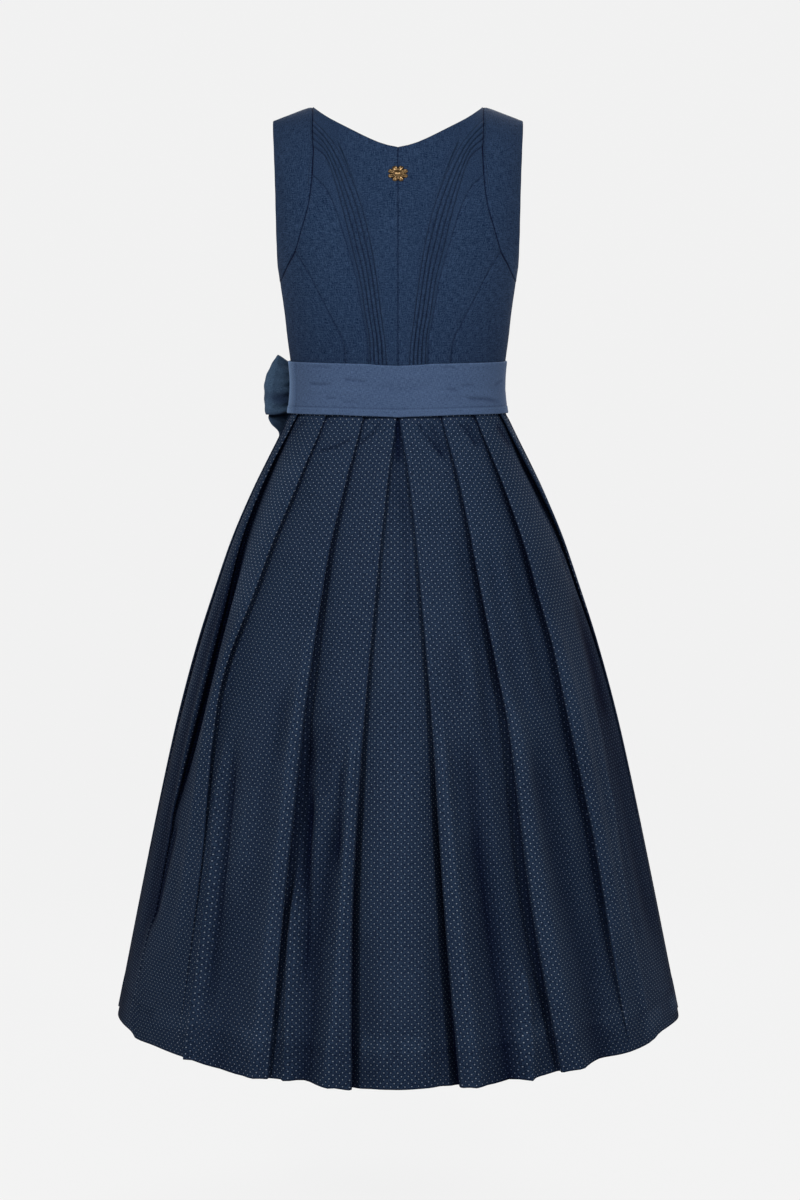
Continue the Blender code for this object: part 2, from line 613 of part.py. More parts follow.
def offset_path(points, wall, level, trim):
    # The two faces of a wall along a path seen from above, its ends drawn in a little.
    points = [tuple(p) for p in points]
    count = len(points)
    dirs = []
    for a, b in zip(points, points[1:]):
        size = math.dist(a, b)
        dirs.append(((b[0] - a[0]) / size, (b[1] - a[1]) / size))
    points[0] = tuple(points[0][n] + dirs[0][n] * trim for n in (0, 1))
    points[-1] = tuple(points[-1][n] - dirs[-1][n] * trim for n in (0, 1))
    inner, outer = [], []
    for i in range(count):
        a = dirs[max(i - 1, 0)]
        b = dirs[min(i, count - 2)]
        t = (a[0] + b[0], a[1] + b[1])
        size = math.hypot(*t)
        n = (t[1] / size * wall / 2, -t[0] / size * wall / 2)
        inner.append((points[i][0] - n[0], points[i][1] - n[1], level))
        outer.append((points[i][0] + n[0], points[i][1] + n[1], level))
    return inner, outer


def build_apron(look, home):
    inner, outer = [], []
    heights = [h for h in SKIRT_HEIGHTS if APRON_HEM <= h <= -BAND_HALF]
    count = APRON_WAVES * 4
    for height in heights:
        spread = read_table(APRON, "spread", height)
        wave = read_table(APRON, "wave", height)
        points = []
        for k in range(count + 1):
            angle = 180.0 - spread + 2 * spread * k / count
            lift = wave * (0.5 - 0.5 * math.cos(2 * math.pi * APRON_WAVES * k / count))
            points.append(ring_out(SKIRT, angle, height, APRON_OUT + lift))
        level = height - (SEAM_GAP if height == -BAND_HALF else 0.0)
        inner_row, outer_row = offset_path(points, APRON_WALL, level, 0.0)
        inner.append(inner_row)
        outer.append(outer_row)
    build_wall("apron", inner, outer, look, home)


def build_band(look, home):
    # The band is one closed ring, a little softer in the middle than at its edges.
    inner, outer = [], []
    for height, swell in BAND_ROWS:
        inner_row, outer_row = [], []
        for k in range(BAND_STEPS):
            angle = -180.0 + 360.0 * k / BAND_STEPS
            inner_row.append((*ring_out(BODY, angle, BAND_HALF, BAND_OUT), height))
            rim = BAND_OUT + BAND_WALL + swell
            outer_row.append((*ring_out(BODY, angle, BAND_HALF, rim), height))
        inner.append(inner_row)
        outer.append(outer_row)
    build_wall("waist_band", inner, outer, look, home, closed=True)


def bow_frame():
    # Middle of the knot, the direction along the bow towards the back, and outwards.
    out = BAND_OUT + BAND_WALL + SEAM_GAP + KNOT_OUT
    centre = ring_out(BODY, BOW_ANGLE, BAND_HALF, out)
    outward = ring_normal(BODY, BOW_ANGLE, BAND_HALF)
    return centre, (-outward[1], outward[0]), outward


def build_knot(look, home):
    centre, run, outward = bow_frame()
    mesh = bpy.data.meshes.new("bow_knot")
    bm = bmesh.new()
    bmesh.ops.create_cube(bm, size=2.0)
    for v in bm.verts:
        a, b, c = v.co
        v.co = (centre[0] + run[0] * a * KNOT_ALONG + outward[0] * b * KNOT_OUT,
                centre[1] + run[1] * a * KNOT_ALONG + outward[1] * b * KNOT_OUT,
                c * KNOT_TALL - SHOULDER_HEIGHT)
    bm.normal_update()
    bmesh.ops.recalc_face_normals(bm, faces=bm.faces)
    bm.to_mesh(mesh)
    bm.free()
    obj = bpy.data.objects.new("bow_knot", mesh)
    mesh.materials.append(look)
    home.objects.link(obj)
    round_off = obj.modifiers.new("round", "BEVEL")
    round_off.width = KNOT_BEVEL
    round_off.segments = 3
    round_off.limit_method = "ANGLE"
    return obj


def build_loop(name, rows, way, lean, slant, look, home):
    # A ribbon that runs out along one side of the loop, turns, and comes back.
    centre, run, outward = bow_frame()
    run = (run[0] * way, run[1] * way)
    axis = [run[n] * math.cos(lean) + outward[n] * math.sin(lean) for n in (0, 1)]
    across = [outward[n] * math.cos(lean) - run[n] * math.sin(lean) for n in (0, 1)]
    start = KNOT_ALONG + SEAM_GAP
    stations = [(row, 1) for row in rows] + [(row, -1) for row in rows[-2::-1]]
    inner, outer = [], []
    for v in (-1.0, -0.5, 0.0, 0.5, 1.0):
        points, heights = [], []
        for row, side in stations:
            reach = LOOP_LENGTH * row.share * (1.0 - slant * max(v, 0.0) ** 2 * row.share)
            away = outward if row is rows[0] else across
            points.append(tuple(centre[n] + run[n] * start + axis[n] * reach
                                + away[n] * row.open * side for n in (0, 1)))
            heights.append(row.low + (row.high - row.low) * (v + 1) / 2)
        inner_row, outer_row = offset_path(points, RIBBON_WALL, 0.0, 0.0)
        inner.append([(p[0], p[1], h) for p, h in zip(inner_row, heights)])
        outer.append([(p[0], p[1], h) for p, h in zip(outer_row, heights)])
    build_wall(name, inner, outer, look, home)


def build_tail(name, top_rows, rows, look, home):
    cols = 5
    grid = []
    centre, run, outward = bow_frame()
    for row in top_rows:
        line = []
        for k in range(cols + 1):
            reach = row.rear_along + (row.fore_along - row.rear_along) * k / cols
            out = row.rear_out + (row.fore_out - row.rear_out) * k / cols
            line.append((centre[0] + run[0] * reach + outward[0] * out,
                         centre[1] + run[1] * reach + outward[1] * out,
                         row.rear_height + (row.fore_height - row.rear_height) * k / cols))
        grid.append(line)
    for row in rows:
        line = []
        for k in range(cols + 1):
            angle = row.rear + (row.fore - row.rear) * k / cols
            x, y = ring_out(SKIRT, angle, row.height, row.out)
            line.append((x, y, row.height))
        grid.append(line)
    # Move the outer face along the normal of each place.
    inner, outer = [], []
    last_row, last_col = len(grid) - 1, cols
    for j, line in enumerate(grid):
        outer_row = []
        for i, p in enumerate(line):
            a, b = line[max(i - 1, 0)], line[min(i + 1, last_col)]
            c, d = grid[max(j - 1, 0)][i], grid[min(j + 1, last_row)][i]
            u = [b[k] - a[k] for k in range(3)]
            v = [d[k] - c[k] for k in range(3)]
            n = (u[1] * v[2] - u[2] * v[1], u[2] * v[0] - u[0] * v[2], u[0] * v[1] - u[1] * v[0])
            if j == 0:
                n = (n[0], n[1], 0.0)
            size = math.sqrt(sum(k * k for k in n))
            sign = 1.0 if n[0] * p[0] + n[1] * p[1] > 0 else -1.0
            outer_row.append(tuple(p[k] + sign * n[k] / size * RIBBON_WALL for k in range(3)))
        inner.append(line)
        outer.append(outer_row)
    build_wall(name, inner, outer, look, home)


def build_rosette(look, home):
    # Eight petals round a small boss, its back following the cloth of the centre back.
    count = ROSETTE_PETALS * 4
    mesh = bpy.data.meshes.new("rosette")
    bm = bmesh.new()
    loops = []
    for size, lift in ROSETTE_RINGS:
        loop = []
        for k in range(count):
            turn = 2 * math.pi * k / count
            petal = 1.0 - 0.17 * (0.5 + 0.5 * math.cos(ROSETTE_PETALS * turn)) * (size > 0.5)
            x = ROSETTE_HALF_WIDE * size * petal * math.sin(turn)
            height = ROSETTE_HEIGHT + ROSETTE_HALF_TALL * size * petal * math.cos(turn)
            loop.append(bm.verts.new(on_back(x, height, lift)))
        loops.append(loop)
    for low, high in zip(loops, loops[1:]):
        for k in range(count):
            n = (k + 1) % count
            bm.faces.new((low[k], low[n], high[n], high[k]))
    for loop, lift in ((loops[0], 0.0), (loops[-1], ROSETTE_RINGS[-1].lift + 0.0004)):
        middle = bm.verts.new(on_back(0.0, ROSETTE_HEIGHT, lift))
        for k in range(count):
            bm.faces.new((loop[k], loop[(k + 1) % count], middle))
    bmesh.ops.recalc_face_normals(bm, faces=bm.faces)
    bm.to_mesh(mesh)
    bm.free()
    obj = bpy.data.objects.new("rosette", mesh)
    mesh.materials.append(look)
    home.objects.link(obj)


def on_back(x, height, lift):
    place = body_place(abs(x), height)
    point = body_point(*place)
    normal = body_normal(*place)
    out = BODICE_WALL + SEAM_GAP + lift
    sign = -1.0 if x < 0 else 1.0
    return (sign * (point[0] + normal[0] * out), point[1] + normal[1] * out,
            point[2] + normal[2] * out - SHOULDER_HEIGHT)


def main():
    clear_scene()
    home = collection("dirndl")
    navy = material("navy_cloth", (0.019, 0.036, 0.075), 0.86)
    dotted = material("dotted_cloth", (0.017, 0.028, 0.052), 0.88)
    blue = material("blue_cloth", (0.056, 0.095, 0.174), 0.80)
    reverse = material("bow_cloth", (0.022, 0.040, 0.072), 0.84)
    brass = material("old_brass", (0.300, 0.190, 0.080), 0.42, 1.0)
    build_bodice(navy, home)
    build_skirt(dotted, home)
    build_apron(blue, home)
    build_band(blue, home)
    build_knot(reverse, home)
    build_loop("bow_loop_back", LOOP_BACK, 1, LOOP_BACK_LEAN, LOOP_BACK_SLANT, reverse, home)
    build_loop("bow_loop_front", LOOP_FRONT, -1, LOOP_FRONT_LEAN, LOOP_FRONT_SLANT, reverse, home)
    build_tail("bow_tail_back", TAIL_BACK_TOP, TAIL_BACK, reverse, home)
    build_tail("bow_tail_front", TAIL_FRONT_TOP, TAIL_FRONT, reverse, home)
    build_rosette(brass, home)


main()
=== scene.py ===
import math
import bmesh
import bpy
import numpy as np
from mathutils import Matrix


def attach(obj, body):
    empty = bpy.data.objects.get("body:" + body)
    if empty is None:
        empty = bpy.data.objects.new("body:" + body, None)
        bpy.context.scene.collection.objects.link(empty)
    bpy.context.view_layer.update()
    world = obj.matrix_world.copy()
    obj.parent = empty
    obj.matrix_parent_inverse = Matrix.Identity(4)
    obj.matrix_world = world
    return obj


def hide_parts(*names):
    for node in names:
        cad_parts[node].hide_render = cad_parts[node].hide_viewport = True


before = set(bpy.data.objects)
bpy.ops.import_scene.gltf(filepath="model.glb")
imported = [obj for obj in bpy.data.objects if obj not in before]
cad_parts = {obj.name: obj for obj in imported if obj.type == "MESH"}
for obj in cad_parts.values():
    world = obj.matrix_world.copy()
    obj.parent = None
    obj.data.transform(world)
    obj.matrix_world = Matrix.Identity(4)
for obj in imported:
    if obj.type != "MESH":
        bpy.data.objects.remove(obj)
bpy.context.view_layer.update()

# Shared form of the dress. Heights are metres above the middle of the waist band.
dress = {
    "shoulder": 0.349,          # origin above the middle of the band
    "wall": 0.0015,
    "capStart": 0.190,          # the bodice closes over the shoulder from here
    "capLength": 0.250,
    "ridgeY": 0.008,
    "ridgeSlope": 0.370,
    "ridgeX": 0.137,
    "ridgeTop": 0.3495,
    "bandHalf": 0.034,
    "bandOut": 0.0025,          # inside of the band from the inside of the bodice
    "hem": -0.832,
    "gap": 0.0003,              # air between a piece and the cloth that it lies on
    "insideShade": 0.6,         # the inner side of every cloth is darker
}

bodyForm = {
    "columns": "height side back front power",
    "rows": [
        (-0.040, 0.1345, 0.0968, 0.0918, 2.30),
        (0.000, 0.1338, 0.0970, 0.0920, 2.30),
        (0.033, 0.1372, 0.0985, 0.0930, 2.30),
        (0.061, 0.1410, 0.1010, 0.0985, 2.32),
        (0.100, 0.1454, 0.1045, 0.1130, 2.35),
        (0.139, 0.1511, 0.1070, 0.1265, 2.40),
        (0.165, 0.1550, 0.1080, 0.1290, 2.50),
        (0.200, 0.1605, 0.1085, 0.1260, 2.72),
        (0.235, 0.1625, 0.1085, 0.1200, 2.85),
        (0.410, 0.1630, 0.1085, 0.1120, 2.85),
    ],
}

skirtForm = {
    "columns": "height side back front power",
    "rows": [
        (-0.832, 0.3710, 0.3760, 0.3580, 1.83),
        (-0.663, 0.3383, 0.3260, 0.3180, 1.88),
        (-0.530, 0.3108, 0.2930, 0.2860, 1.90),
        (-0.430, 0.2880, 0.2680, 0.2600, 1.94),
        (-0.330, 0.2607, 0.2360, 0.2280, 1.98),
        (-0.264, 0.2393, 0.2120, 0.2040, 2.02),
        (-0.199, 0.2167, 0.1870, 0.1780, 2.06),
        (-0.133, 0.1890, 0.1530, 0.1460, 2.12),
        (-0.100, 0.1732, 0.1350, 0.1280, 2.18),
        (-0.068, 0.1572, 0.1160, 0.1105, 2.24),
        (-0.055, 0.1508, 0.1085, 0.1030, 2.26),
        (-0.042, 0.1445, 0.1022, 0.0968, 2.28),
        (-0.034, 0.1402, 0.0980, 0.0930, 2.30),
        (0.000, 0.1350, 0.0978, 0.0928, 2.30),
    ],
}


def column(table, name, at):  # smooth reading of one column, without overshoot
    place = table["columns"].split().index(name)
    hs = np.array([row[0] for row in table["rows"]])
    vs = np.array([row[place] for row in table["rows"]])
    slopes = np.diff(vs) / np.diff(hs)
    both = slopes[:-1] * slopes[1:]
    total = slopes[:-1] + slopes[1:]
    inner = np.where(both > 0, 2 * both / np.where(total == 0, 1, total), 0)
    tangents = np.concatenate([slopes[:1], inner, slopes[-1:]])
    at = np.clip(np.asarray(at, float), hs[0], hs[-1])
    i = np.clip(np.searchsorted(hs, at, side="right") - 1, 0, len(hs) - 2)
    span = hs[i + 1] - hs[i]
    t = (at - hs[i]) / span
    return (vs[i] * (2 * t**3 - 3 * t**2 + 1) + tangents[i] * span * (t**3 - 2 * t**2 + t)
            + vs[i + 1] * (3 * t**2 - 2 * t**3) + tangents[i + 1] * span * (t**3 - t**2))


def bell(x, middle, width):  # 1 at the middle, less to both sides
    return np.exp(-((x - middle) / width) ** 2)


def under(x, edge, soft):  # 1 below the edge, 0 above it
    return 0.5 - 0.5 * np.tanh((x - edge) / (2 * soft))


def raised(flat, level):  # level places and their height joined
    return np.concatenate([flat, np.broadcast_to(level, flat.shape[:-1])[..., None]], axis=-1)


def unit(direction):
    return direction / np.maximum(np.linalg.norm(direction, axis=-1, keepdims=True), 1e-12)


def squareTo(run):  # level direction square to a level run
    run = unit(run)
    return np.stack([run[..., 1], -run[..., 0]], axis=-1)


def runLength(points, axis=0):  # distance from the first point
    steps = np.linalg.norm(np.diff(points, axis=axis), axis=-1)
    return np.concatenate([0 * np.take(steps, [0], axis), np.cumsum(steps, axis=axis)], axis=axis)


def throughRows(rows, steps):  # smooth curve through every row
    rows = np.asarray(rows, float)
    padded = np.concatenate([rows[:1], rows, rows[-1:]])
    t = (np.arange(steps) / steps).reshape(-1, *[1] * (rows.ndim - 1))
    made = [0.5 * (2 * b + (c - a) * t + (2 * a - 5 * b + 4 * c - d) * t**2
                   + (3 * b - a - 3 * c + d) * t**3)
            for a, b, c, d in zip(padded, padded[1:], padded[2:], padded[3:])]
    return np.concatenate(made + [rows[-1:]])


def ringPoint(form, degrees, height):  # degrees are counted from the centre back
    sine, cosine = np.sin(np.radians(degrees)), np.cos(np.radians(degrees))
    side = column(form, "side", height)
    deep = np.where(cosine > 0, column(form, "back", height), column(form, "front", height))
    power = column(form, "power", height)
    reach = ((np.abs(sine) / side) ** power + (np.abs(cosine) / deep) ** power) ** (-1 / power)
    return np.stack([reach * sine, -reach * cosine], axis=-1)


def ringNormal(form, degrees, height):  # way out of the form, level
    return squareTo(ringPoint(form, degrees + 0.2, height) - ringPoint(form, degrees - 0.2, height))


def ringOut(form, degrees, height, out):  # outline of the form moved outwards
    out = np.broadcast_to(out, np.broadcast(degrees, height).shape)[..., None]
    return ringPoint(form, degrees, height) + ringNormal(form, degrees, height) * out


def ridgeHeight(x):  # ridge of the shoulders
    return dress["ridgeTop"] - dress["ridgeSlope"] * (np.abs(x) - dress["ridgeX"])


def bodyPoint(place):  # place holds an angle and a level along the cloth
    degrees, level = place[..., 0], place[..., 1]
    start = dress["capStart"]
    turn = np.clip((level - start) / dress["capLength"], 0, 1) * math.pi / 2
    form = np.where(level <= start, level, start + (dress["ridgeTop"] - start) * np.sin(turn))
    flat = ringPoint(bodyForm, degrees, form)
    y = dress["ridgeY"] + (flat[..., 1] - dress["ridgeY"]) * np.cos(turn)
    z = np.where(level <= start, level, start + (ridgeHeight(flat[..., 0]) - start) * np.sin(turn))
    return np.stack([flat[..., 0], y, z], axis=-1)


def bodyNormal(place):  # way out of the body's form
    low = place.copy()
    low[..., 1] = np.minimum(low[..., 1], dress["capStart"] + dress["capLength"] - 0.004)
    u = bodyPoint(low + [0.3, 0]) - bodyPoint(low - [0.3, 0])
    v = bodyPoint(low + [0, 0.002]) - bodyPoint(low - [0, 0.002])
    return unit(np.cross(u, v))


def bodyPlace(x, height, front=False):  # angle and level of a place seen from behind
    x, height = np.asarray(x, float), np.asarray(height, float)
    start = dress["capStart"]
    part = np.clip((height - start) / (ridgeHeight(x) - start), 0, 1)
    level = np.where(height > start, start + dress["capLength"] * np.arcsin(part) / (math.pi / 2), height)
    form = np.where(height > start, start + (dress["ridgeTop"] - start) * part, height)
    low, high = np.zeros_like(x), np.full_like(x, 90.0)
    for _ in range(40):
        middle = (low + high) / 2
        less = ringPoint(bodyForm, middle, form)[..., 0] < x
        low, high = np.where(less, middle, low), np.where(less, high, middle)
    return np.stack([180 - low if front else low, level], axis=-1)


def addObject(name, data):
    obj = bpy.data.objects.new(name, data)
    bpy.context.scene.collection.objects.link(obj)
    return obj


def newPiece(name, points, faces, rim, uv=None):
    mesh = bpy.data.meshes.new(name)
    mesh.from_pydata(points, [], faces)
    if uv is not None:
        corners = np.empty(len(mesh.loops), dtype=np.int32)
        mesh.loops.foreach_get("vertex_index", corners)
        mesh.uv_layers.new(name="clothUV").data.foreach_set("uv", uv[corners].ravel())
    mesh.attributes.new("rim", "FLOAT", "POINT").data.foreach_set("value", rim)
    mesh.shade_smooth()
    mesh.update()
    return addObject(name, mesh)


def ringForm(name, rings, rim, uv=None):  # closed form through rings of points
    rings = np.array(rings)
    count, around = rings.shape[:2]
    i, after = np.arange(around), (np.arange(around) + 1) % around
    faces = [face for j in range(count - 1) for face in np.stack(
        [j * around + i, j * around + after, (j + 1) * around + after, (j + 1) * around + i], -1).tolist()]
    faces += [list(range(around))[::-1], list(range((count - 1) * around, count * around))]
    obj = newPiece(name, (rings.reshape(-1, 3) - [0, 0, dress["shoulder"]]).tolist(), faces, rim, uv)
    work = bmesh.new()
    work.from_mesh(obj.data)
    bmesh.ops.recalc_face_normals(work, faces=work.faces)
    work.to_mesh(obj.data)
    work.free()
    return obj


def shell(name, inner, outer, uv, rim):  # closed wall between two grids, outer side outwards
    rows, cols = inner.shape[:2]
    points = np.concatenate([outer.reshape(-1, 3), inner.reshape(-1, 3)])
    points[:, 2] -= dress["shoulder"]
    index = np.arange(rows * cols).reshape(rows, cols)
    a, b, c, d = index[:-1, :-1], index[:-1, 1:], index[1:, 1:], index[1:, :-1]
    faces = [np.stack([a, b, c, d], -1).reshape(-1, 4),
             np.stack([a, d, c, b], -1).reshape(-1, 4) + rows * cols]
    loop = np.concatenate([index[0], index[1:, -1], index[-1, -2::-1], index[-2:0:-1, 0]])
    after = np.roll(loop, -1)
    faces.append(np.stack([after, loop, loop + rows * cols, after + rows * cols], -1))
    faces = np.concatenate(faces)
    j, i = rows // 2, cols // 2
    corner = outer[j, i]
    facing = np.cross(outer[j, min(i + 1, cols - 1)] - corner, outer[min(j + 1, rows - 1), i] - corner)
    if np.dot(facing, corner - inner[j, i]) < 0:
        faces = faces[:, ::-1]
    rim = np.concatenate([rim.ravel(), np.full(rows * cols, dress["insideShade"])])
    return newPiece(name, points.tolist(), faces.tolist(), rim, np.concatenate([uv.reshape(-1, 2)] * 2))


def pressCreases(degrees, heights, reach, creases):  # width, rise, shade, then places of each crease
    rise, shade = np.zeros(degrees.shape), np.zeros(degrees.shape)
    x, z = np.radians(degrees) * reach * 1000, heights * 1000
    for width, deep, dark, line in creases:
        lengths = [math.hypot(math.radians(b[0] - a[0]) * 200, b[1] - a[1]) for a, b in zip(line, line[1:])]
        total, done = sum(lengths), 0.0
        nearest, where = np.full(degrees.shape, 1e9), np.zeros(degrees.shape)
        for (a, b), length in zip(zip(line, line[1:]), lengths):
            ax, bx = np.radians(a[0]) * reach * 1000, np.radians(b[0]) * reach * 1000
            run, drop = bx - ax, b[1] - a[1]
            t = np.clip(((x - ax) * run + (z - a[1]) * drop) / (run**2 + drop**2), 0, 1)
            far = (x - ax - run * t) ** 2 + (z - a[1] - drop * t) ** 2
            where = np.where(far < nearest, (done + t * length) / total, where)
            nearest = np.minimum(far, nearest)
            done += length
        fade = np.clip(where * 5, 0, 1)
        if line[-1][1] > -820:  # a crease that ends above the hem fades out there too
            fade = fade * np.clip((1 - where) * 5, 0, 1)
        fade = fade**2 * (3 - 2 * fade)
        press = np.exp(-nearest / width**2) * fade
        rise += deep / 1000 * press
        shade += dark * press
    return rise, shade


def finishPiece(obj, look, stands):  # stands names the solids that it stands for
    obj.data.materials.clear()
    obj.data.materials.append(look)
    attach(obj, "root")
    if stands:
        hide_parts(*stands)


# materials

def feed(tree, node, inputs):  # a socket is linked, a plain value is set
    for key, value in inputs.items():
        if isinstance(value, bpy.types.NodeSocket):
            tree.links.new(value, node.inputs[key])
        else:
            node.inputs[key].default_value = value


def addNode(tree, kind, settings=None, **inputs):  # an input goes by its name, or as _0, _1 by its place
    made = tree.nodes.new("ShaderNode" + kind)
    for key, value in (settings or {}).items():
        setattr(made, key, value)
    feed(tree, made, {int(key[1:]) if key[0] == "_" else key: value for key, value in inputs.items()})
    return made


def noise(tree, place, scale, detail, rough=0.5):
    return addNode(tree, "TexNoise", None, Vector=place, Scale=scale, Detail=detail,
                   Roughness=rough).outputs["Fac"]


def mixColours(tree, share, first, second, blend="MIX"):
    first, second = ((*colour, 1) if isinstance(colour, tuple) else colour for colour in (first, second))
    return addNode(tree, "Mix", {"data_type": "RGBA", "blend_type": blend}, _0=share, _6=first,
                   _7=second).outputs[2]


def rimOf(tree):  # painted shade kept on the mesh, 1 in a seam, below 0 for a painted highlight
    return addNode(tree, "Attribute", {"attribute_name": "rim"}).outputs["Fac"]


def bumpOf(tree, height, strength, distance):
    return addNode(tree, "Bump", None, Height=height, Strength=strength,
                   Distance=distance).outputs["Normal"]


def newLook(name):
    made = bpy.data.materials.new(name)
    made.use_nodes = True
    return made, made.node_tree, made.node_tree.nodes["Principled BSDF"]


def calc(tree, operation, a, b=0.0, c=0.0):
    return addNode(tree, "Math", {"operation": operation}, _0=a, _1=b, _2=c).outputs[0]


def newGroup(name, inputs, outputs):
    group = bpy.data.node_groups.new(name, "ShaderNodeTree")
    for label, kind, value in inputs:
        socket = group.interface.new_socket(label, in_out="INPUT", socket_type="NodeSocket" + kind)
        if value is not None:
            socket.default_value = value
    for label, kind in outputs:
        group.interface.new_socket(label, in_out="OUTPUT", socket_type="NodeSocket" + kind)
    return group, group.nodes.new("NodeGroupInput"), group.nodes.new("NodeGroupOutput")


def makeWeave():  # plain weave with uneven threads
    group, given, out = newGroup(
        "plainWeave", [("Cloth", "Vector", None), ("Thread", "Float", 0.0005), ("Slub", "Float", 0.5),
                       ("Fleck", "Float", 1.0)],
        [("Tone", "Float"), ("Height", "Float")])
    cloth, thread, slub = given.outputs["Cloth"], given.outputs["Thread"], given.outputs["Slub"]
    apart = addNode(group, "SeparateXYZ", _0=cloth).outputs
    x, y = calc(group, "DIVIDE", apart[0], thread), calc(group, "DIVIDE", apart[1], thread)
    warp = calc(group, "ABSOLUTE", calc(group, "SINE", calc(group, "MULTIPLY", x, math.pi)))
    weft = calc(group, "ABSOLUTE", calc(group, "SINE", calc(group, "MULTIPLY", y, math.pi)))
    cells = calc(group, "ADD", calc(group, "FLOOR", x), calc(group, "FLOOR", y))
    parity = calc(group, "FLOORED_MODULO", cells, 2.0)
    warpOver = calc(group, "MULTIPLY", warp, calc(group, "MULTIPLY_ADD", weft, 0.5, 0.5))
    weftOver = calc(group, "MULTIPLY", weft, calc(group, "MULTIPLY_ADD", warp, 0.5, 0.5))
    height = addNode(group, "Mix", {"data_type": "FLOAT"}, _0=parity, _2=warpOver, _3=weftOver).outputs[0]
    streaks = []
    for sx, sy in ((0.50, 0.060), (0.060, 0.50)):  # threads vary across and less along
        scaled = addNode(group, "CombineXYZ", _0=calc(group, "MULTIPLY", x, sx),
                         _1=calc(group, "MULTIPLY", y, sy)).outputs[0]
        streaks.append(noise(group, scaled, 1.0, 2.0, 0.6))
    uneven = calc(group, "SUBTRACT", calc(group, "ADD", streaks[0], streaks[1]), 1.0)
    cloud, fleck = noise(group, cloth, 9.0, 3.0), noise(group, cloth, 620.0, 1.0)
    tone = calc(group, "MULTIPLY_ADD", uneven, slub, 0.5)
    tone = calc(group, "MULTIPLY_ADD", calc(group, "SUBTRACT", height, 0.6), 0.22, tone)
    tone = calc(group, "MULTIPLY_ADD", calc(group, "SUBTRACT", cloud, 0.5), 0.35, tone)
    tone = calc(group, "MULTIPLY_ADD", calc(group, "SUBTRACT", fleck, 0.5), given.outputs["Fleck"], tone)
    feed(group, out, {"Tone": addNode(group, "Clamp", None, _0=tone).outputs[0],
                      "Height": calc(group, "MULTIPLY_ADD", uneven, 0.4, height)})
    return group


def makeDots():  # small dots in staggered rows
    group, given, out = newGroup(
        "pinDots", [("Cloth", "Vector", None), ("Repeat", "Float", 0.0085), ("Size", "Float", 0.0015)],
        [("Dot", "Float"), ("Ring", "Float")])
    repeat = given.outputs["Repeat"]
    apart = addNode(group, "SeparateXYZ", _0=given.outputs["Cloth"]).outputs
    x, y = calc(group, "DIVIDE", apart[0], repeat), calc(group, "DIVIDE", apart[1], repeat)
    reach = []
    for shift in (0.0, 0.5):
        a = calc(group, "SUBTRACT", calc(group, "FRACT", calc(group, "ADD", x, shift)), 0.5)
        b = calc(group, "SUBTRACT", calc(group, "FRACT", calc(group, "ADD", y, shift)), 0.5)
        square = calc(group, "ADD", calc(group, "MULTIPLY", a, a), calc(group, "MULTIPLY", b, b))
        reach.append(calc(group, "MULTIPLY", calc(group, "SQRT", square), repeat))
    near = calc(group, "MINIMUM", reach[0], reach[1])
    radius = calc(group, "MULTIPLY", given.outputs["Size"], 0.5)
    discs = []
    for start, full in ((1.25, 0.75), (3.1, 1.6)):  # dot and ring, in shares of the radius
        discs.append(addNode(group, "MapRange", {"interpolation_type": "SMOOTHSTEP"}, _0=near,
                             _1=calc(group, "MULTIPLY", radius, start),
                             _2=calc(group, "MULTIPLY", radius, full), _3=0.0, _4=1.0).outputs[0])
    feed(group, out, {"Dot": discs[0], "Ring": calc(group, "SUBTRACT", discs[1], discs[0])})
    return group


def makeRim():  # painted shade in seams, creases and folds, and painted highlights where the rim is below 0
    group, given, out = newGroup(
        "paintedShading", [("Colour", "Color", None), ("Rim", "Float", 0.0), ("Deep", "Float", 0.6)],
        [("Colour", "Color")])
    deep = calc(group, "MULTIPLY", given.outputs["Rim"], given.outputs["Deep"])
    red, green, blue = (calc(group, "SUBTRACT", 1.0, calc(group, "MULTIPLY", deep, share))
                        for share in (1.04, 1.0, 0.84))
    tint = addNode(group, "CombineColor", None, _0=red, _1=green, _2=blue).outputs[0]
    feed(group, out, {"Colour": mixColours(group, 1.0, given.outputs["Colour"], tint, "MULTIPLY")})
    return group


weaveGroup, dotGroup, rimGroup = makeWeave(), makeDots(), makeRim()


def clothLook(name, cloth):
    made, tree, shader = newLook(name)
    flat = addNode(tree, "UVMap", {"uv_map": "clothUV"}).outputs[0]
    weave = addNode(tree, "Group", {"node_tree": weaveGroup}, Cloth=flat, Thread=cloth["thread"],
                    Slub=cloth["slub"], Fleck=cloth["fleck"])
    colour = mixColours(tree, weave.outputs["Tone"], cloth["dark"], cloth["light"])
    if "dots" in cloth:
        dots = addNode(tree, "Group", {"node_tree": dotGroup}, Cloth=flat,
                       Repeat=cloth["dots"]["repeat"], Size=cloth["dots"]["size"])
        ring = calc(tree, "MULTIPLY", dots.outputs["Ring"], cloth["dots"]["ring"])
        colour = mixColours(tree, ring, colour, cloth["dark"])
        colour = mixColours(tree, dots.outputs["Dot"], colour, cloth["dots"]["colour"])
    shade = addNode(tree, "Group", {"node_tree": rimGroup}, Colour=colour, Rim=rimOf(tree),
                    Deep=cloth["deep"])
    feed(tree, shader, {
        "Base Color": shade.outputs["Colour"],
        "Normal": bumpOf(tree, weave.outputs["Height"], cloth["bump"], cloth["thread"] * 0.35),
        "Roughness": cloth["rough"], "Specular IOR Level": cloth["specular"]})
    if "sheen" in cloth:
        feed(tree, shader, {"Sheen Weight": cloth["sheen"], "Sheen Roughness": 0.5,
                            "Sheen Tint": (*cloth["sheenTint"], 1)})
    return made


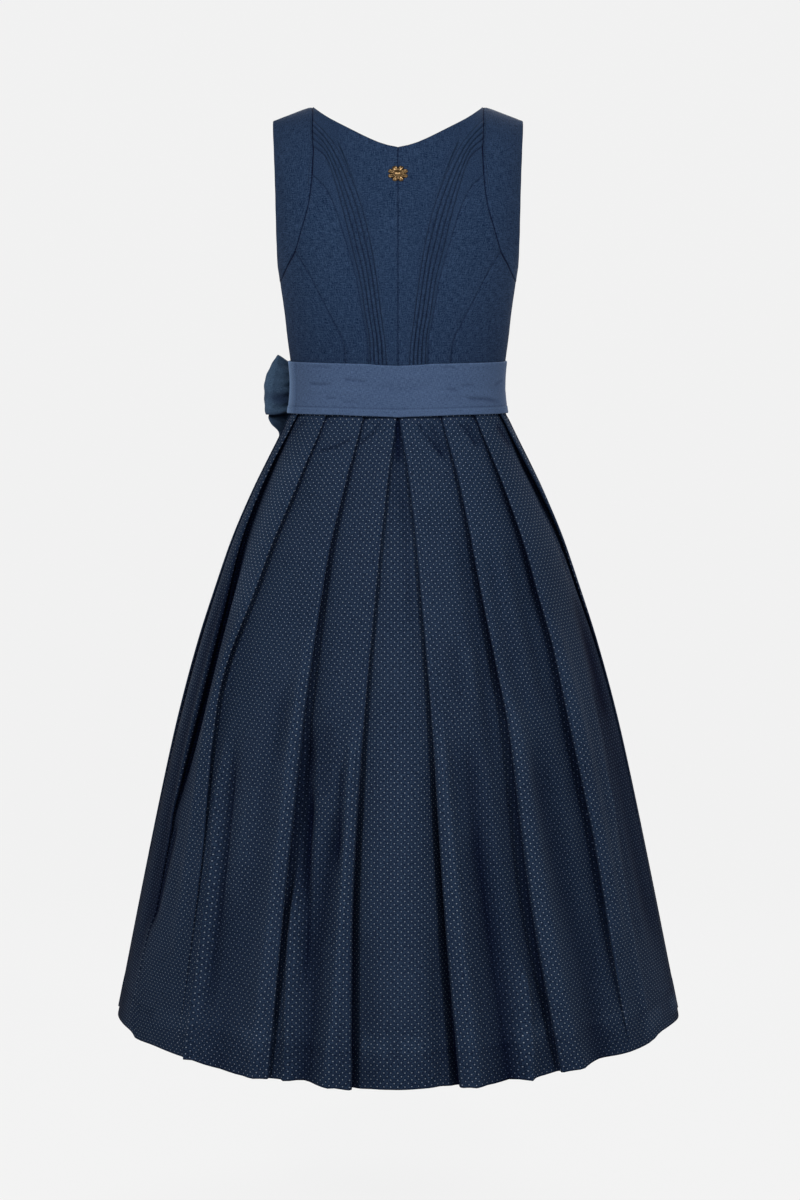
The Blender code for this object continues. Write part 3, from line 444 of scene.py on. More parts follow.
navyLinen = {"dark": (0.0022, 0.0078, 0.0260), "light": (0.0238, 0.0462, 0.0950), "thread": 0.00055,
             "slub": 1.5, "fleck": 1.3, "deep": 0.85, "bump": 0.6, "rough": 0.95, "specular": 0.08}
dottedCotton = {"dark": (0.0022, 0.0050, 0.0145), "light": (0.0184, 0.0340, 0.0678), "thread": 0.00030,
                "slub": 1.8, "fleck": 1.8, "deep": 0.85, "bump": 0.4, "rough": 0.95, "specular": 0.03,
                # the dots repeat twice in this length, and a darker ring sets each off
                "dots": {"repeat": 0.0082, "size": 0.00142, "colour": (0.158, 0.193, 0.253), "ring": 0.74}}
blueCotton = {"dark": (0.0190, 0.0370, 0.0800), "light": (0.0590, 0.0930, 0.1720), "thread": 0.00030,
              "slub": 1.7, "fleck": 0.5, "deep": 0.60, "bump": 0.4, "rough": 0.9, "specular": 0.1,
              "sheen": 0.02, "sheenTint": (0.75, 0.85, 1.0)}
bowCotton = {**blueCotton, "dark": (0.0160, 0.0340, 0.0640), "light": (0.0520, 0.0900, 0.1480),
             "slub": 1.6, "fleck": 0.6, "sheenTint": (0.6, 0.75, 1.0)}
navyLook, dottedLook = clothLook("navyLinen", navyLinen), clothLook("dottedCotton", dottedCotton)
blueLook, bowLook = clothLook("blueCotton", blueCotton), clothLook("bowCotton", bowCotton)


def threadLook(name, colour):
    made, tree, shader = newLook(name)
    twist = noise(tree, addNode(tree, "TexCoord").outputs["Object"], 2600.0, 1.0)
    dark, light = (tuple(c * share for c in colour) for share in (0.6, 1.4))
    feed(tree, shader, {"Base Color": mixColours(tree, twist, dark, light), "Roughness": 0.8,
                        "Specular IOR Level": 0.1, "Normal": bumpOf(tree, twist, 0.5, 0.0001)})
    return made


def brassLook():  # old brass, dark in the hollows and bright where it is rubbed
    made, tree, shader = newLook("oldBrass")
    tarnish = noise(tree, addNode(tree, "TexCoord").outputs["Object"], 420.0, 4.0)
    worn = calc(tree, "MULTIPLY_ADD", tarnish, 0.5, calc(tree, "SUBTRACT", 0.75, rimOf(tree)))
    ramp = addNode(tree, "ValToRGB", None, _0=worn)
    ends = ((0.36, (0.035, 0.022, 0.012, 1)), (0.98, (0.19, 0.12, 0.055, 1)))
    for element, (place, colour) in zip(ramp.color_ramp.elements, ends):
        element.position, element.color = place, colour
    feed(tree, shader, {"Base Color": ramp.outputs[0], "Normal": bumpOf(tree, tarnish, 0.3, 0.0002),
                        "Roughness": addNode(tree, "MapRange", None, _0=worn, _3=0.62, _4=0.30).outputs[0],
                        "Metallic": 0.9})
    return made


print("materials made")


# bodice

bodice = {
    "fine": 3,                   # cells of the scene to one of the plain form
    "tucks": 4,
    "tuckRaise": 0.0020,
    "tuckLine": (0.64, 0.0009),  # painted shade and width of the line beside a tuck
    # painted highlight on the ridge of a tuck
    "tuckPale": 0.16,
    "seamDrop": 0.0010,
    "seamWidth": 0.0010,
    "fineSeam": 0.42,            # a pressed-open seam shows less than the yoke seam
    "pillow": 0.0004,            # cloth stands a little proud between its seams
    "pillowEdge": 0.006,
    "pucker": 0.00022,           # small waves beside the seams, their length and their reach
    "puckerStep": 0.0052,
    "puckerReach": 0.003,
    "soft": 0.0007,              # broad unevenness of the worn cloth
    "softEdge": 0.02,
    "waistShade": 0.20,          # the sides are darker towards the waist
}
seams = {  # half width and height of each row
    "tuckInner": [(0.0140, 0.000), (0.0150, 0.050), (0.0200, 0.090), (0.0265, 0.140), (0.0345, 0.188),
                  (0.0440, 0.226), (0.0535, 0.254), (0.0690, 0.290), (0.0820, 0.312), (0.0950, 0.3275),
                  (0.1078, 0.3400)],
    "tuckOuter": [(0.0345, 0.000), (0.0355, 0.062), (0.0400, 0.090), (0.0475, 0.140), (0.0560, 0.174),
                  (0.0640, 0.207), (0.0720, 0.238), (0.0800, 0.266), (0.0900, 0.292), (0.1065, 0.3065)],
    "princess": [(0.0370, 0.000), (0.0382, 0.062), (0.0430, 0.088), (0.0510, 0.136), (0.0600, 0.170),
                 (0.0680, 0.196), (0.0760, 0.222), (0.0870, 0.248), (0.0960, 0.260), (0.1078, 0.2710)],
    "yoke": [(0.1535, 0.1330), (0.1480, 0.1400), (0.1390, 0.1580), (0.1290, 0.1760), (0.1215, 0.2010),
             (0.1140, 0.2260), (0.1095, 0.2500), (0.1078, 0.2710), (0.1070, 0.2900), (0.1065, 0.3065),
             (0.1075, 0.3300), (0.1078, 0.3400), (0.1088, 0.3582)],
    "sideBack": [(0.0655, 0.000), (0.0665, 0.040), (0.0708, 0.066), (0.0825, 0.089), (0.0985, 0.121),
                 (0.1150, 0.152), (0.1290, 0.176)],
    "neckBack": [(0.0000, 0.3052), (0.0180, 0.3092), (0.0370, 0.3170), (0.0580, 0.3276),
                 (0.0830, 0.3408), (0.0960, 0.3490), (0.1088, 0.3582)],
    "armhole": [(0.1540, 0.1500), (0.1540, 0.1570), (0.1538, 0.1720), (0.1541, 0.2000), (0.1547, 0.2350),
                (0.1560, 0.2730), (0.1580, 0.3120), (0.1600, 0.3394)],
    "neckFront": [(0.0000, 0.2060), (0.0350, 0.2090), (0.0650, 0.2190), (0.0850, 0.2370),
                  (0.0960, 0.2650), (0.1040, 0.3000), (0.1110, 0.3350), (0.1150, 0.3572)],
}


def seamCurve(name, front=False):  # fine line through the rows of a seam
    made = throughRows(seams[name], 12)
    return bodyPlace(np.maximum(made[:, 0], 0), made[:, 1], front)


def divide(points, count):  # even steps along a line of places
    points = np.asarray(points, float)
    lengths = runLength(bodyPoint(points))
    at = np.linspace(0, lengths[-1], count + 1)
    return np.stack([np.interp(at, lengths, points[:, n]) for n in (0, 1)], axis=-1)


def cutAt(line, height):  # where a line passes a height
    hs = bodyPoint(line)[:, 2]
    order = np.argsort(hs)
    return np.array([np.interp(height, hs[order], line[order, n]) for n in (0, 1)])


def between(line, low, high):  # part of a line between two heights
    hs = bodyPoint(line)[:, 2]
    kept = line[(hs > low + 0.0005) & (hs < high - 0.0005)]
    return np.concatenate([[cutAt(line, low)], kept, [cutAt(line, high)]])


def fillPatch(left, right, bottom, top):  # grid between four edges
    left, right, bottom, top = (np.asarray(edge, float) for edge in (left, right, bottom, top))
    v = np.linspace(0, 1, len(left))[:, None, None]
    u = np.linspace(0, 1, len(bottom))[None, :, None]
    return ((1 - u) * left[:, None] + u * right[:, None] + (1 - v) * bottom[None] + v * top[None]
            - (1 - u) * (1 - v) * left[0] - u * (1 - v) * right[0] - (1 - u) * v * left[-1]
            - u * v * right[-1])


def crowd(count):  # grid lines stand closer together at the seams
    ends = [0, 0.05, 0.11, 0.18, 0.27, 0.40, 0.62]
    return np.array(ends + list(range(1, count)) + [count - e for e in reversed(ends)], float)


def pick(grid, axis, at):  # grid read between its lines
    low = np.clip(np.floor(at).astype(int), 0, grid.shape[axis] - 2)
    t = at - low
    t = t.reshape([-1 if n == axis else 1 for n in range(grid.ndim)])
    return np.take(grid, low, axis) * (1 - t) + np.take(grid, low + 1, axis) * t


def edgeReach(points):  # distance from the left, right, low and high edges
    left, low = runLength(points, 1), runLength(points)
    return left, left[:, -1:] - left, low, low[-1:] - low


def ripple(points, seedling):  # broad unevenness, always the same
    x, z = points[..., 0] * 1000, points[..., 2] * 1000
    a, b, c = seedling
    return (np.sin(x / 23 + z / 61 + a) + np.sin(-x / 37 + z / 29 + b) + np.sin(x / 71 - z / 43 + c)) / 3


def sewPanel(name, grid, strengths, tuckAt=None):  # strengths of the left, right, low and high edges
    grid = np.asarray(grid, float)
    rowsAt, colsAt = crowd(grid.shape[0] - 1), crowd(grid.shape[1] - 1)
    if tuckAt is not None:  # more grid lines beside the outermost tucks
        steps = np.array([0.035, 0.08, 0.14, 0.24])
        ends = np.searchsorted(tuckAt, (0, bodice["tucks"]))
        colsAt = np.union1d(colsAt, np.concatenate([ends[0] - steps, ends[1] + steps]))
    grid = pick(pick(grid, 0, rowsAt), 1, colsAt)
    points, normals = bodyPoint(grid), bodyNormal(grid)
    reaches = edgeReach(points)
    left, right, low, high = reaches
    edge = np.minimum(np.minimum(left, right), np.minimum(low, high))
    strengths = [pick(s, 0, colsAt)[None] if isinstance(s, np.ndarray) else s for s in strengths]
    # painted shade along the seams, by the strength of each edge
    rim = np.clip(sum(s * bell(reach, 0, bodice["seamWidth"]) for s, reach in zip(strengths, reaches)), 0, 1)
    drop = bodice["seamDrop"] * rim
    rise = bodice["pillow"] * (1 - np.exp(-edge / bodice["pillowEdge"]))
    inward = np.clip(edge / bodice["softEdge"], 0, 1)
    rise += bodice["soft"] * ripple(points, (len(name), grid.shape[0], 1.3)) * inward
    beside = bell(np.minimum(left, right), bodice["puckerReach"], bodice["puckerReach"])
    rise += bodice["pucker"] * np.sin(low / bodice["puckerStep"]) * beside
    if tuckAt is not None:
        place = pick(tuckAt, 0, colsAt)[None, :] * np.ones_like(edge)
        inside = (place > 0) & (place < bodice["tucks"])
        t = np.mod(place, 1.0)
        bump = np.where(inside, 1 - np.abs(2 * t - 1) ** 2.6, 0)
        rise = rise + bodice["tuckRaise"] * bump
        start, stop = np.searchsorted(place[0], 0), np.searchsorted(place[0], bodice["tucks"])
        pitch = (left[:, stop:stop + 1] - left[:, start:start + 1]) / bodice["tucks"]
        off = np.minimum(np.minimum(t, 1 - t) * pitch, 1)
        off = np.where(inside, off, np.minimum(np.abs(left - left[:, start:start + 1]),
                                               np.abs(left - left[:, stop:stop + 1])))
        # painted shade in the valley beside each tuck and a painted highlight on its ridge
        dark, width = bodice["tuckLine"]
        rim = np.maximum(rim, dark * bell(off, 0, width) - bodice["tuckPale"] * bump)
    waistward = np.clip((0.135 - points[..., 2]) / 0.10, 0, 1)
    sideward = np.clip(points[..., 0] / 0.08, 0, 1)
    rim = rim + bodice["waistShade"] * waistward * sideward
    outer = points + normals * (dress["wall"] + rise - drop)[..., None]
    inner = points + normals * 0.0001
    uv = np.stack([left, grid[..., 1]], axis=-1)
    for side, sign in (("right", 1), ("left", -1)):
        flip = np.array([sign, 1, 1])
        obj = shell(f"{name}_{side}", inner * flip, outer * flip, uv + [0.013 * sign, 0], rim)
        finishPiece(obj, navyLook, [f"{name}_{side}"])
    return points, normals, colsAt, rise


def makeBodice():
    f = bodice["fine"]
    rows, tuckCols = 12 * f, bodice["tucks"] * 10
    tuckIn, tuckOut, princess = seamCurve("tuckInner"), seamCurve("tuckOuter"), seamCurve("princess")
    yoke, sideBack, neck = seamCurve("yoke"), seamCurve("sideBack"), seamCurve("neckBack")
    armhole = seamCurve("armhole")
    tops = {key: seams[key][-1][1] for key in ("tuckInner", "tuckOuter", "princess", "sideBack")}
    yokeTop = bodyPlace(*seams["yoke"][-1])
    yokeStart = np.array([90.0, seams["yoke"][0][1]])
    low = divide(np.concatenate([[yokeStart], between(yoke, seams["yoke"][1][1], tops["sideBack"])]), 4 * f)
    middle = divide(between(yoke, tops["sideBack"], tops["princess"]), 4 * f)
    short = divide(between(yoke, tops["princess"], tops["tuckOuter"]), 2 * f)
    tucks = divide(between(yoke, tops["tuckOuter"], tops["tuckInner"]), tuckCols)
    middle[0], short[0] = low[-1], middle[-1]
    tucks[0] = short[-1]

    princessLine = divide(np.concatenate([princess[:-1], middle[-1:]]), rows)
    tuckInLine = divide(np.concatenate([tuckIn[:-1], tucks[-1:]]), rows)
    tuckOutLine = divide(np.concatenate([tuckOut[:-1], tucks[:1]]), rows)
    centre = divide([(0.0, 0.0), (0.0, 0.15), (0.0, neck[0][1])], rows)
    neckLine = divide(np.concatenate([neck[:-1], [yokeTop]]), 4 * f)
    sideBackLine = divide(np.concatenate([sideBack[:-1], low[-1:]]), 8 * f)

    def waist(a, b, count):
        return np.stack([np.linspace(a[0], b[0], count + 1), np.zeros(count + 1)], axis=-1)

    edges = (centre, tuckInLine, waist(centre[0], tuckInLine[0], 4 * f + 1),
             np.concatenate([neckLine, tucks[-1:]]))
    innerPatch = fillPatch(*[bodyPoint(edge)[:, [0, 2]] for edge in edges])  # half widths and heights
    innerPatch = bodyPlace(innerPatch[..., 0], innerPatch[..., 1])
    tuckPatch = fillPatch(tuckInLine, tuckOutLine, waist(tuckInLine[0], tuckOutLine[0], tuckCols),
                          tucks[::-1])
    outerPatch = fillPatch(tuckOutLine, princessLine, waist(tuckOutLine[0], princessLine[0], 2 * f),
                           short[::-1])
    centreGrid = np.concatenate([innerPatch, tuckPatch[:, 1:], outerPatch[:, 1:]], axis=1)
    first = 4 * f + 1
    tuckAt = (np.arange(centreGrid.shape[1]) - first) / tuckCols * bodice["tucks"]
    fine = bodice["fineSeam"]
    neckOpen = np.where(np.arange(centreGrid.shape[1]) < first, 0.55, 1.0)
    laid = sewPanel("back_centre", centreGrid, (0.55, fine, 0.0, neckOpen), tuckAt)

    right = np.concatenate([sideBackLine, middle[1:]])
    left = princessLine.copy()
    # the two sides stay a little apart where they meet at the top
    left[-1] = 0.99 * left[-1] + 0.01 * left[-2]
    right[-1] = 0.98 * right[-1] + 0.02 * right[-2]
    sewPanel("back_middle", fillPatch(left, right, waist(left[0], right[0], 3 * f),
                                      divide([left[-1], right[-1]], 3 * f)), (fine, 0.4, 0.0, 0.0))

    sideLine = np.stack([np.full(8 * f + 1, 90.0), np.linspace(0, yokeStart[1], 8 * f + 1)], axis=-1)
    sewPanel("back_side", fillPatch(sideBackLine, sideLine, waist(sideBackLine[0], sideLine[0], 4 * f),
                                    low[::-1]), (fine, 0.8, 0.0, 1.0))

    # the strap ends on the shoulder ridge, where the front's strap begins
    top = dress["capStart"] + dress["capLength"]
    neckEnd = bodyPlace(seams["neckFront"][-1][0], ridgeHeight(seams["neckFront"][-1][0]))[0]
    armEnd = bodyPlace(seams["armhole"][-1][0], ridgeHeight(seams["armhole"][-1][0]))[0]
    armStart = np.array([90.0, seams["armhole"][0][1]])
    yokeLine = np.concatenate([low, middle[1:], short[1:], tucks[1:], divide([tucks[-1], yokeTop], f)[1:],
                               divide([yokeTop, (neckEnd, top)], f)[1:]])
    armLine = np.concatenate([[armStart], armhole[1:-1], [(armEnd, top)]])
    # even rows on the strap, whatever the cells of the panels beside it
    count = 20 * f
    yokeEven, armEven = divide(yokeLine, count), divide(armLine, count)
    strap = sewPanel("back_strap", fillPatch(yokeEven, armEven, divide([yokeEven[0], armStart], 5 * f),
                                             divide([yokeEven[-1], armEven[-1]], 5 * f)),
                     (1.7, 0.0, 0.8, 0.8))

    neckFront = seamCurve("neckFront", front=True)
    neckFront[-1] = (180 - neckEnd, top)
    armFront = armLine * [-1, 1] + [180, 0]
    edge = np.concatenate([divide([(180.0, 0.0), (180.0, neckFront[0][1])], 9 * f)[:-1],
                           divide(neckFront, 11 * f)])
    sideUp = np.concatenate([divide([(90.0, 0.0), armStart], 9 * f)[:-1], divide(armFront, 11 * f)])
    sewPanel("front", fillPatch(sideUp, edge, waist(sideUp[0], edge[0], 9 * f),
                                divide([sideUp[-1], edge[-1]], 9 * f)), (0.5, 0.6, 0.0, 0.8))
    return laid, strap


bodiceLaid, strapLaid = makeBodice()
print("bodice sewn")


# skirt

skirt = {
    "samples": 4,                # points to one step of the folded path
    "wall": 0.0005,
    "hemDeep": 0.041,            # turned-up hem
    "hemRaise": 0.0005,
    "highlightShare": 0.6,                  # share kept of the painted highlights and paler places
    "sag": 0.12,                 # how far the inner layers drop at the hem
    "foldHeights": (-0.035, -0.100, -0.210, -0.380, -0.590, -0.832),
    "rightFolds": [(2.4, 6.4, 8.2, 9.6, 10.6, 12.1), (32.2, 31.6, 30.0, 31.2, 31.8, 34.0),
                   (53.8, 53.2, 52.8, 52.6, 54.5, 54.0), (75.0, 78.0, 84.0, 82.0, 80.0, 79.0),
                   (94.0, 94.0, 94.0, 93.0, 92.0, 91.0), (112.0, 111.0, 110.0, 110.0, 110.0, 109.0)],
    "leftFolds": [(2.4, 5.8, 7.8, 9.6, 10.6, 9.0), (26.4, 26.9, 27.3, 27.0, 27.0, 26.0),
                  (50.4, 50.6, 53.0, 58.2, 52.8, 50.0), (72.5, 75.0, 73.0, 69.2, 71.5, 72.0),
                  (94.5, 95.0, 94.5, 93.5, 93.5, 93.0), (111.0, 111.0, 110.0, 110.0, 110.0, 109.0)],
    # how strongly each fold stands, at the same heights
    "rightForce": [(1.0, 1.0, 0.8, 1.0, 1.4, 1.3), (0.8, 0.9, 1.0, 1.1, 1.3, 0.6),
                   (1.0, 1.0, 1.0, 1.0, 0.9, 0.0), (1.0, 1.1, 0.55, 0.15, 0.02, 0.0),
                   (1.0, 1.0, 0.75, 0.50, 0.40, 0.35), (1.0, 1.0, 1.0, 1.0, 0.9, 0.8)],
    "leftForce": [(1.0, 1.0, 0.8, 0.9, 1.3, 1.1), (1.0, 1.0, 1.0, 1.2, 0.9, 0.4),
                  (0.9, 0.9, 0.8, 0.72, 0.20, 0.0), (1.0, 1.0, 1.0, 1.0, 0.16, 0.0),
                  (1.0, 1.0, 0.75, 0.50, 0.40, 0.35), (1.0, 1.0, 1.0, 1.0, 0.9, 0.8)],
    # share of the lap, depth, painted shade (below 0 a painted highlight)
    "layers": [(-0.35, 2.45, 0.50), (0.55, 2.50, 0.95), (1.00, 1.70, 1.00), (0.50, 1.10, 1.00),
               (-0.25, 0.55, 0.55), (-0.12, -0.12, 0.00), (0.45, -0.15, -0.08)],
    "tuckedAt": 1.00, "noseAt": -0.25,  # the layers where a fold turns, inside and at its edge
    "panel": [(0.20, 0.05, 0.00), (0.60, 0.75, 0.00), (0.88, 1.80, 0.05)],
    "frontWaves": 8,
    "flats": {"skirt_back": (1.50, 0.86), "skirt_front": (0.92, 0.86)},
}
# the hem hangs a little higher at the sides and front
hemTable = {
    "columns": "angle lift",
    "rows": [(-180, 0.0050), (-120, 0.0060), (-90, 0.0085), (-80, 0.0108), (-72, 0.0112), (-69.5, 0.0100),
             (-67.5, 0.0052), (-58, 0.0078), (-48, 0.0070), (-38, 0.0024), (-30, 0.0010), (-22, 0.0030),
             (-14, 0.0006), (-7, -0.0014), (0, 0.0020), (8, 0.0012), (18, 0.0000), (28, 0.0010),
             (38, 0.0046), (48, 0.0060), (60, 0.0062), (64.5, 0.0100), (69, 0.0130), (74, 0.0126),
             (80, 0.0120), (90, 0.0095), (120, 0.0060), (180, 0.0050)],
}
centreTable = {
    "columns": "height deep shade",
    "rows": [(-0.832, 0.70, 0.00), (-0.590, 0.30, -0.08), (-0.380, 0.30, -0.05), (-0.210, 0.90, 0.00),
             (-0.100, 1.90, 0.35), (-0.035, 2.00, 0.60)],
}
drapeTable = {
    "columns": "height step lap",
    "rows": [(-0.832, 0.0092, 0.0060), (-0.590, 0.0085, 0.0080), (-0.380, 0.0070, 0.0100),
             (-0.210, 0.0054, 0.0110), (-0.100, 0.0036, 0.0115), (-0.035, 0.0018, 0.0120),
             (0.000, 0.0017, 0.0120)],
}
# Creases of the skirt: width, rise and painted shade, then angle and height of each place, all in mm and
# degrees.
# A shade below 0 is a painted highlight on a crest.
skirtCreases = [
    (7, 7.5, -0.42, [(11.2, -360), (13, -590), (14.6, -740), (15, -832)]),
    (6, 7.5, -0.42, [(-11.8, -380), (-12.3, -590), (-12.8, -740), (-13.5, -832)]),
    (5, 9.0, -0.24, [(-25.0, -575), (-24.8, -670), (-23.6, -740), (-22, -832)]),
    (7, 12.0, -0.45, [(28.6, -690), (28.2, -745), (26.6, -832)]),
    (8, 5.5, -0.32, [(-28.6, -260), (-29.4, -590), (-29.4, -740), (-29, -832)]),
    (14, 8.0, -0.28, [(33, -330), (34.5, -590), (36, -740), (38, -832)]),
    (5, 7.5, -0.35, [(-53.4, -410), (-52.0, -510), (-48.8, -590), (-47.8, -670), (-46.5, -832)]),
    (10, 4.5, -0.22, [(-56, -240), (-60.6, -430), (-58, -590), (-56, -740)]),
    (14, 6.0, -0.18, [(54, -240), (56, -430), (57, -590), (58, -740)]),
    (6, 5.0, -0.50, [(67, -380), (65.2, -510), (63.2, -590), (62, -670), (61.6, -740), (63, -832)]),
    (26, 7.5, -0.14, [(1, -400), (1, -640), (0.5, -832)]),
    (14, -12.0, 0.60, [(-14.8, -490), (-17, -590), (-18.4, -670), (-18, -740), (-18.5, -832)]),
    (5, -6.0, 0.55, [(-14.4, -440), (-14.8, -585)]),
    (6, -10.0, 0.72, [(-23.6, -470), (-22.9, -560), (-21.6, -640), (-20.4, -740)]),
    (13, -9.5, 0.60, [(19.2, -400), (20.6, -560), (22.4, -680), (23.0, -740), (23, -832)]),
    (24, -6.0, 0.32, [(19, -500), (21, -620), (20.5, -832)]),
    (40, 1.3, 0.0, [(80, -60), (80, -500), (80, -832)]),
    (60, 2.0, 0.0, [(-88, -60), (-88, -450), (-88, -832)]),
    # painted shade where the sides turn away
    (55, 0.0, 0.45, [(85, -200), (85, -832)]), (50, 0.0, 0.45, [(-86, -200), (-86, -832)]),
    (24, -9.0, 0.50, [(39.5, -400), (42, -540), (45, -670), (46, -740), (46, -832)]),
    (7, -8.0, 0.74, [(-48.8, -410), (-47.6, -510), (-46.0, -590), (-44.6, -670), (-43, -800)]),
    (18, -4.0, 0.24, [(-42, -600), (-40, -720), (-38, -832)]),
    (8, -8.0, 0.55, [(-25.4, -400), (-24.4, -520), (-23.8, -640)]),
    (12, -3.0, 0.24, [(-20.5, -400), (-19, -500)]),
    (10, -3.0, 0.16, [(-34, -370), (-33.4, -460)]),
    (16, -3.0, 0.16, [(-34, -330), (-36, -560), (-35, -800)]),
    (14, -5.0, 0.20, [(-7.0, -640), (-6.5, -740), (-5.5, -832)]),
    (10, -5.0, 0.20, [(8.0, -640), (8.2, -740), (8.4, -832)]),
    (5, -1.6, 0.26, [(1.5, -110), (3, -170), (4.8, -300)]),
    (5, 1.2, -0.05, [(-3, -130), (-2.5, -260)]),
    (12, -3.5, 0.22, [(34.5, -180), (35.5, -300), (37, -420)]),
    (12, -3.0, 0.24, [(46, -160), (46, -300), (47, -430)]),
    (10, -2.5, 0.24, [(25.5, -150), (26, -300), (26.5, -500)]),
    (10, -3.0, 0.22, [(17.5, -300), (18.5, -380)]),
    (12, -3.5, 0.18, [(14.5, -410), (15.5, -540)]),
    (9, 3.0, -0.20, [(-40, -480), (-40, -600)]), (7, 2.5, -0.14, [(23, -300), (23, -390)]),
    (17, -4.0, 0.58, [(-72, -170), (-73, -420), (-74, -600), (-75, -800)]),
    (14, -5.0, 0.30, [(-69, -540), (-71, -700)]),
    (12, -1.0, 0.36, [(-66, -450), (-68.5, -560), (-70.5, -650), (-72, -730)]),
    (9, -3.0, 0.36, [(70.5, -340), (69, -430), (67.8, -510), (66.5, -590), (65.5, -680), (65.5, -740)]),
    (22, -3.0, 0.50, [(73, -250), (74, -330), (73, -560), (75, -760)]),
    (16, -1.5, 0.40, [(75, -240), (75, -320), (75, -440)]),
    (6, -3.0, 0.45, [(76.5, -130), (77.5, -200), (76, -260)]),
    (22, 1.5, -0.75, [(-60, -60), (-59.5, -200), (-61, -310)]),
    (10, 0.5, -0.50, [(-79, -230), (-79.5, -330), (-80, -470)]),
    (10, -2.0, 0.30, [(84, -120), (86, -500), (86, -800)]),
    (5, -1.0, 0.50, [(0, -30), (0, -60), (0, -95)]),
    # painted shade towards both sides
    (26, 0.5, 0.26, [(82, -420), (82, -640), (80, -832)]),
    (24, 0.5, 0.26, [(-84, -420), (-83, -640), (-80, -832)]),
    (9, -2.5, 0.20, [(50.5, -640), (49, -740)]),
    # drag lines under the band
    (2.2, -1.7, 0.70, [(-48.5, -79), (-44, -75), (-37.5, -71), (-32.6, -65), (-28, -58)]),
    (2.2, -1.6, 0.60, [(-25.2, -71), (-21, -60.5), (-16.8, -52.5), (-13.3, -43), (-11, -36)]),
    (2.6, -1.8, 0.70, [(29.5, -91), (25.5, -81), (22.2, -67), (17.8, -54), (14.5, -42.5), (12, -36)]),
    (6.5, -1.0, 0.50, [(28.5, -84), (25.5, -66), (24, -50), (22, -36)]),
    (2.4, -1.7, 0.70, [(48.5, -76), (45.8, -64), (44.2, -52), (39.7, -39)]),
    (5.5, -1.0, 0.50, [(49.5, -72), (47.5, -50), (45.5, -37)]),
    (8.0, -1.6, 0.75, [(71, -78), (68.5, -58), (66, -42)]),
    (3.0, -1.5, 0.50, [(-70, -60), (-66, -48), (-61, -38)]),
    (3.0, -1.6, 0.40, [(92, -70), (87, -56), (82, -42)]),
    (3.0, -1.6, 0.40, [(-91, -68), (-86, -55), (-81, -42)]),
    # paler places above the turned-up hem
    (9, 0.6, -0.60, [(-62, -792), (-46, -792)]), (12, 0.6, -0.95, [(-8, -784), (-1, -784)]),
    (12, 0.6, -0.70, [(0, -784), (6, -784)]), (12, 0.6, -0.95, [(25, -783), (33, -783)]),
    (10, 0.6, -0.40, [(46, -786), (60, -790)]),
    (12, 0.8, -0.90, [(60, -806), (70, -808)]), (12, 0.8, -0.90, [(75, -808), (85, -808)]),
    (12, 0.6, -0.80, [(-34, -786), (-26, -784)]),
    (9, 0.6, -0.30, [(112, -780), (120, -780)]), (9, 0.6, -0.30, [(-120, -780), (-111, -780)]),
    (9, 0.6, -0.30, [(150, -780), (158, -780)]), (9, 0.6, -0.30, [(-160, -780), (-150, -780)]),
    # hidden sides, in the same manner
    (18, 6.0, -0.20, [(100, -360), (101, -600), (100, -832)]),
    (16, -6.5, 0.30, [(106, -420), (106, -640), (105, -832)]),
    (18, 6.0, -0.20, [(-101, -380), (-99, -600), (-98, -832)]),
    (16, -6.5, 0.30, [(-106, -430), (-105, -640), (-104, -832)]),
    (20, 6.5, -0.20, [(133, -330), (135, -600), (134, -832)]),
    (20, 6.5, -0.20, [(-134, -350), (-132, -600), (-133, -832)]),
    (16, -5.5, 0.24, [(146, -400), (148, -832)]),
    (16, -5.5, 0.24, [(-147, -420), (-149, -832)]),
]


def readFolds(folds, heights):  # each fold at every height
    levels = skirt["foldHeights"][::-1]
    return [column({"columns": "height angle", "rows": list(zip(levels, fold[::-1]))}, "angle", heights)
            for fold in folds]


def sideOfSkirt(folds, forces, heights):  # folded path from the centre back to the centre front
    step, lap = column(drapeTable, "step", heights), column(drapeTable, "lap", heights)
    angles, forces = readFolds(folds, heights), readFolds(forces, heights)
    middle = column(centreTable, "deep", heights)
    places = [angles[0] * share for share in (0.0, 0.50, 0.82)]
    depths = [middle * step, middle * step, (middle * 0.4 + 1.2) * step]
    shades = [column(centreTable, "shade", heights)] * 3
    noses, tucked = [], []
    for number, (angle, force) in enumerate(zip(angles, forces)):
        reach = np.linalg.norm(ringPoint(skirtForm, angle, heights), axis=-1)
        turn = np.degrees(lap / reach) * np.clip(force * 1.4, 0.02, 1)
        for part, deep, dark in skirt["layers"][0 if number else 1:]:
            if part == skirt["tuckedAt"]:
                tucked.append(len(places))
            if part == skirt["noseAt"]:
                noses.append(len(places))
            places.append(angle + part * turn)
            depths.append(deep * step * force)
            shades.append(dark * np.minimum(force, 1))
        if number + 1 < len(angles):
            start, stop = angle + 0.45 * turn, angles[number + 1] - 0.35 * turn
            for share, deep, dark in skirt["panel"]:
                places.append(start + (stop - start) * share)
                depths.append(deep * step * (force * (1 - share) + forces[number + 1] * share))
                shades.append(dark * forces[number + 1])
        if number + 2 == len(angles):
            split = len(places) - 2
    start = places[-1]
    for k in range(1, skirt["frontWaves"] + 1):
        places.append(start + (180 - start) * k / skirt["frontWaves"])
        depths.append(step * (0.5 - 0.5 * math.cos(math.pi * k)))
        shades.append(0 * heights)
    return np.stack(places, 1), np.stack(depths, 1), np.stack(shades, 1), noses, tucked, split


def softPath(points, samples):  # smooth line through the middles of the steps, ends kept
    ends = np.concatenate([points[:, :1], (points[:, 1:] + points[:, :-1]) / 2, points[:, -1:]], axis=1)
    t = (np.arange(samples) / samples)[None, None, :, None]
    a, b, c = ends[:, :-1, None], points[:, :, None], ends[:, 1:, None]
    curve = (1 - t) ** 2 * a + 2 * t * (1 - t) * b + t**2 * c
    return np.concatenate([curve.reshape(len(points), -1, points.shape[-1]), points[:, -1:]], axis=1)


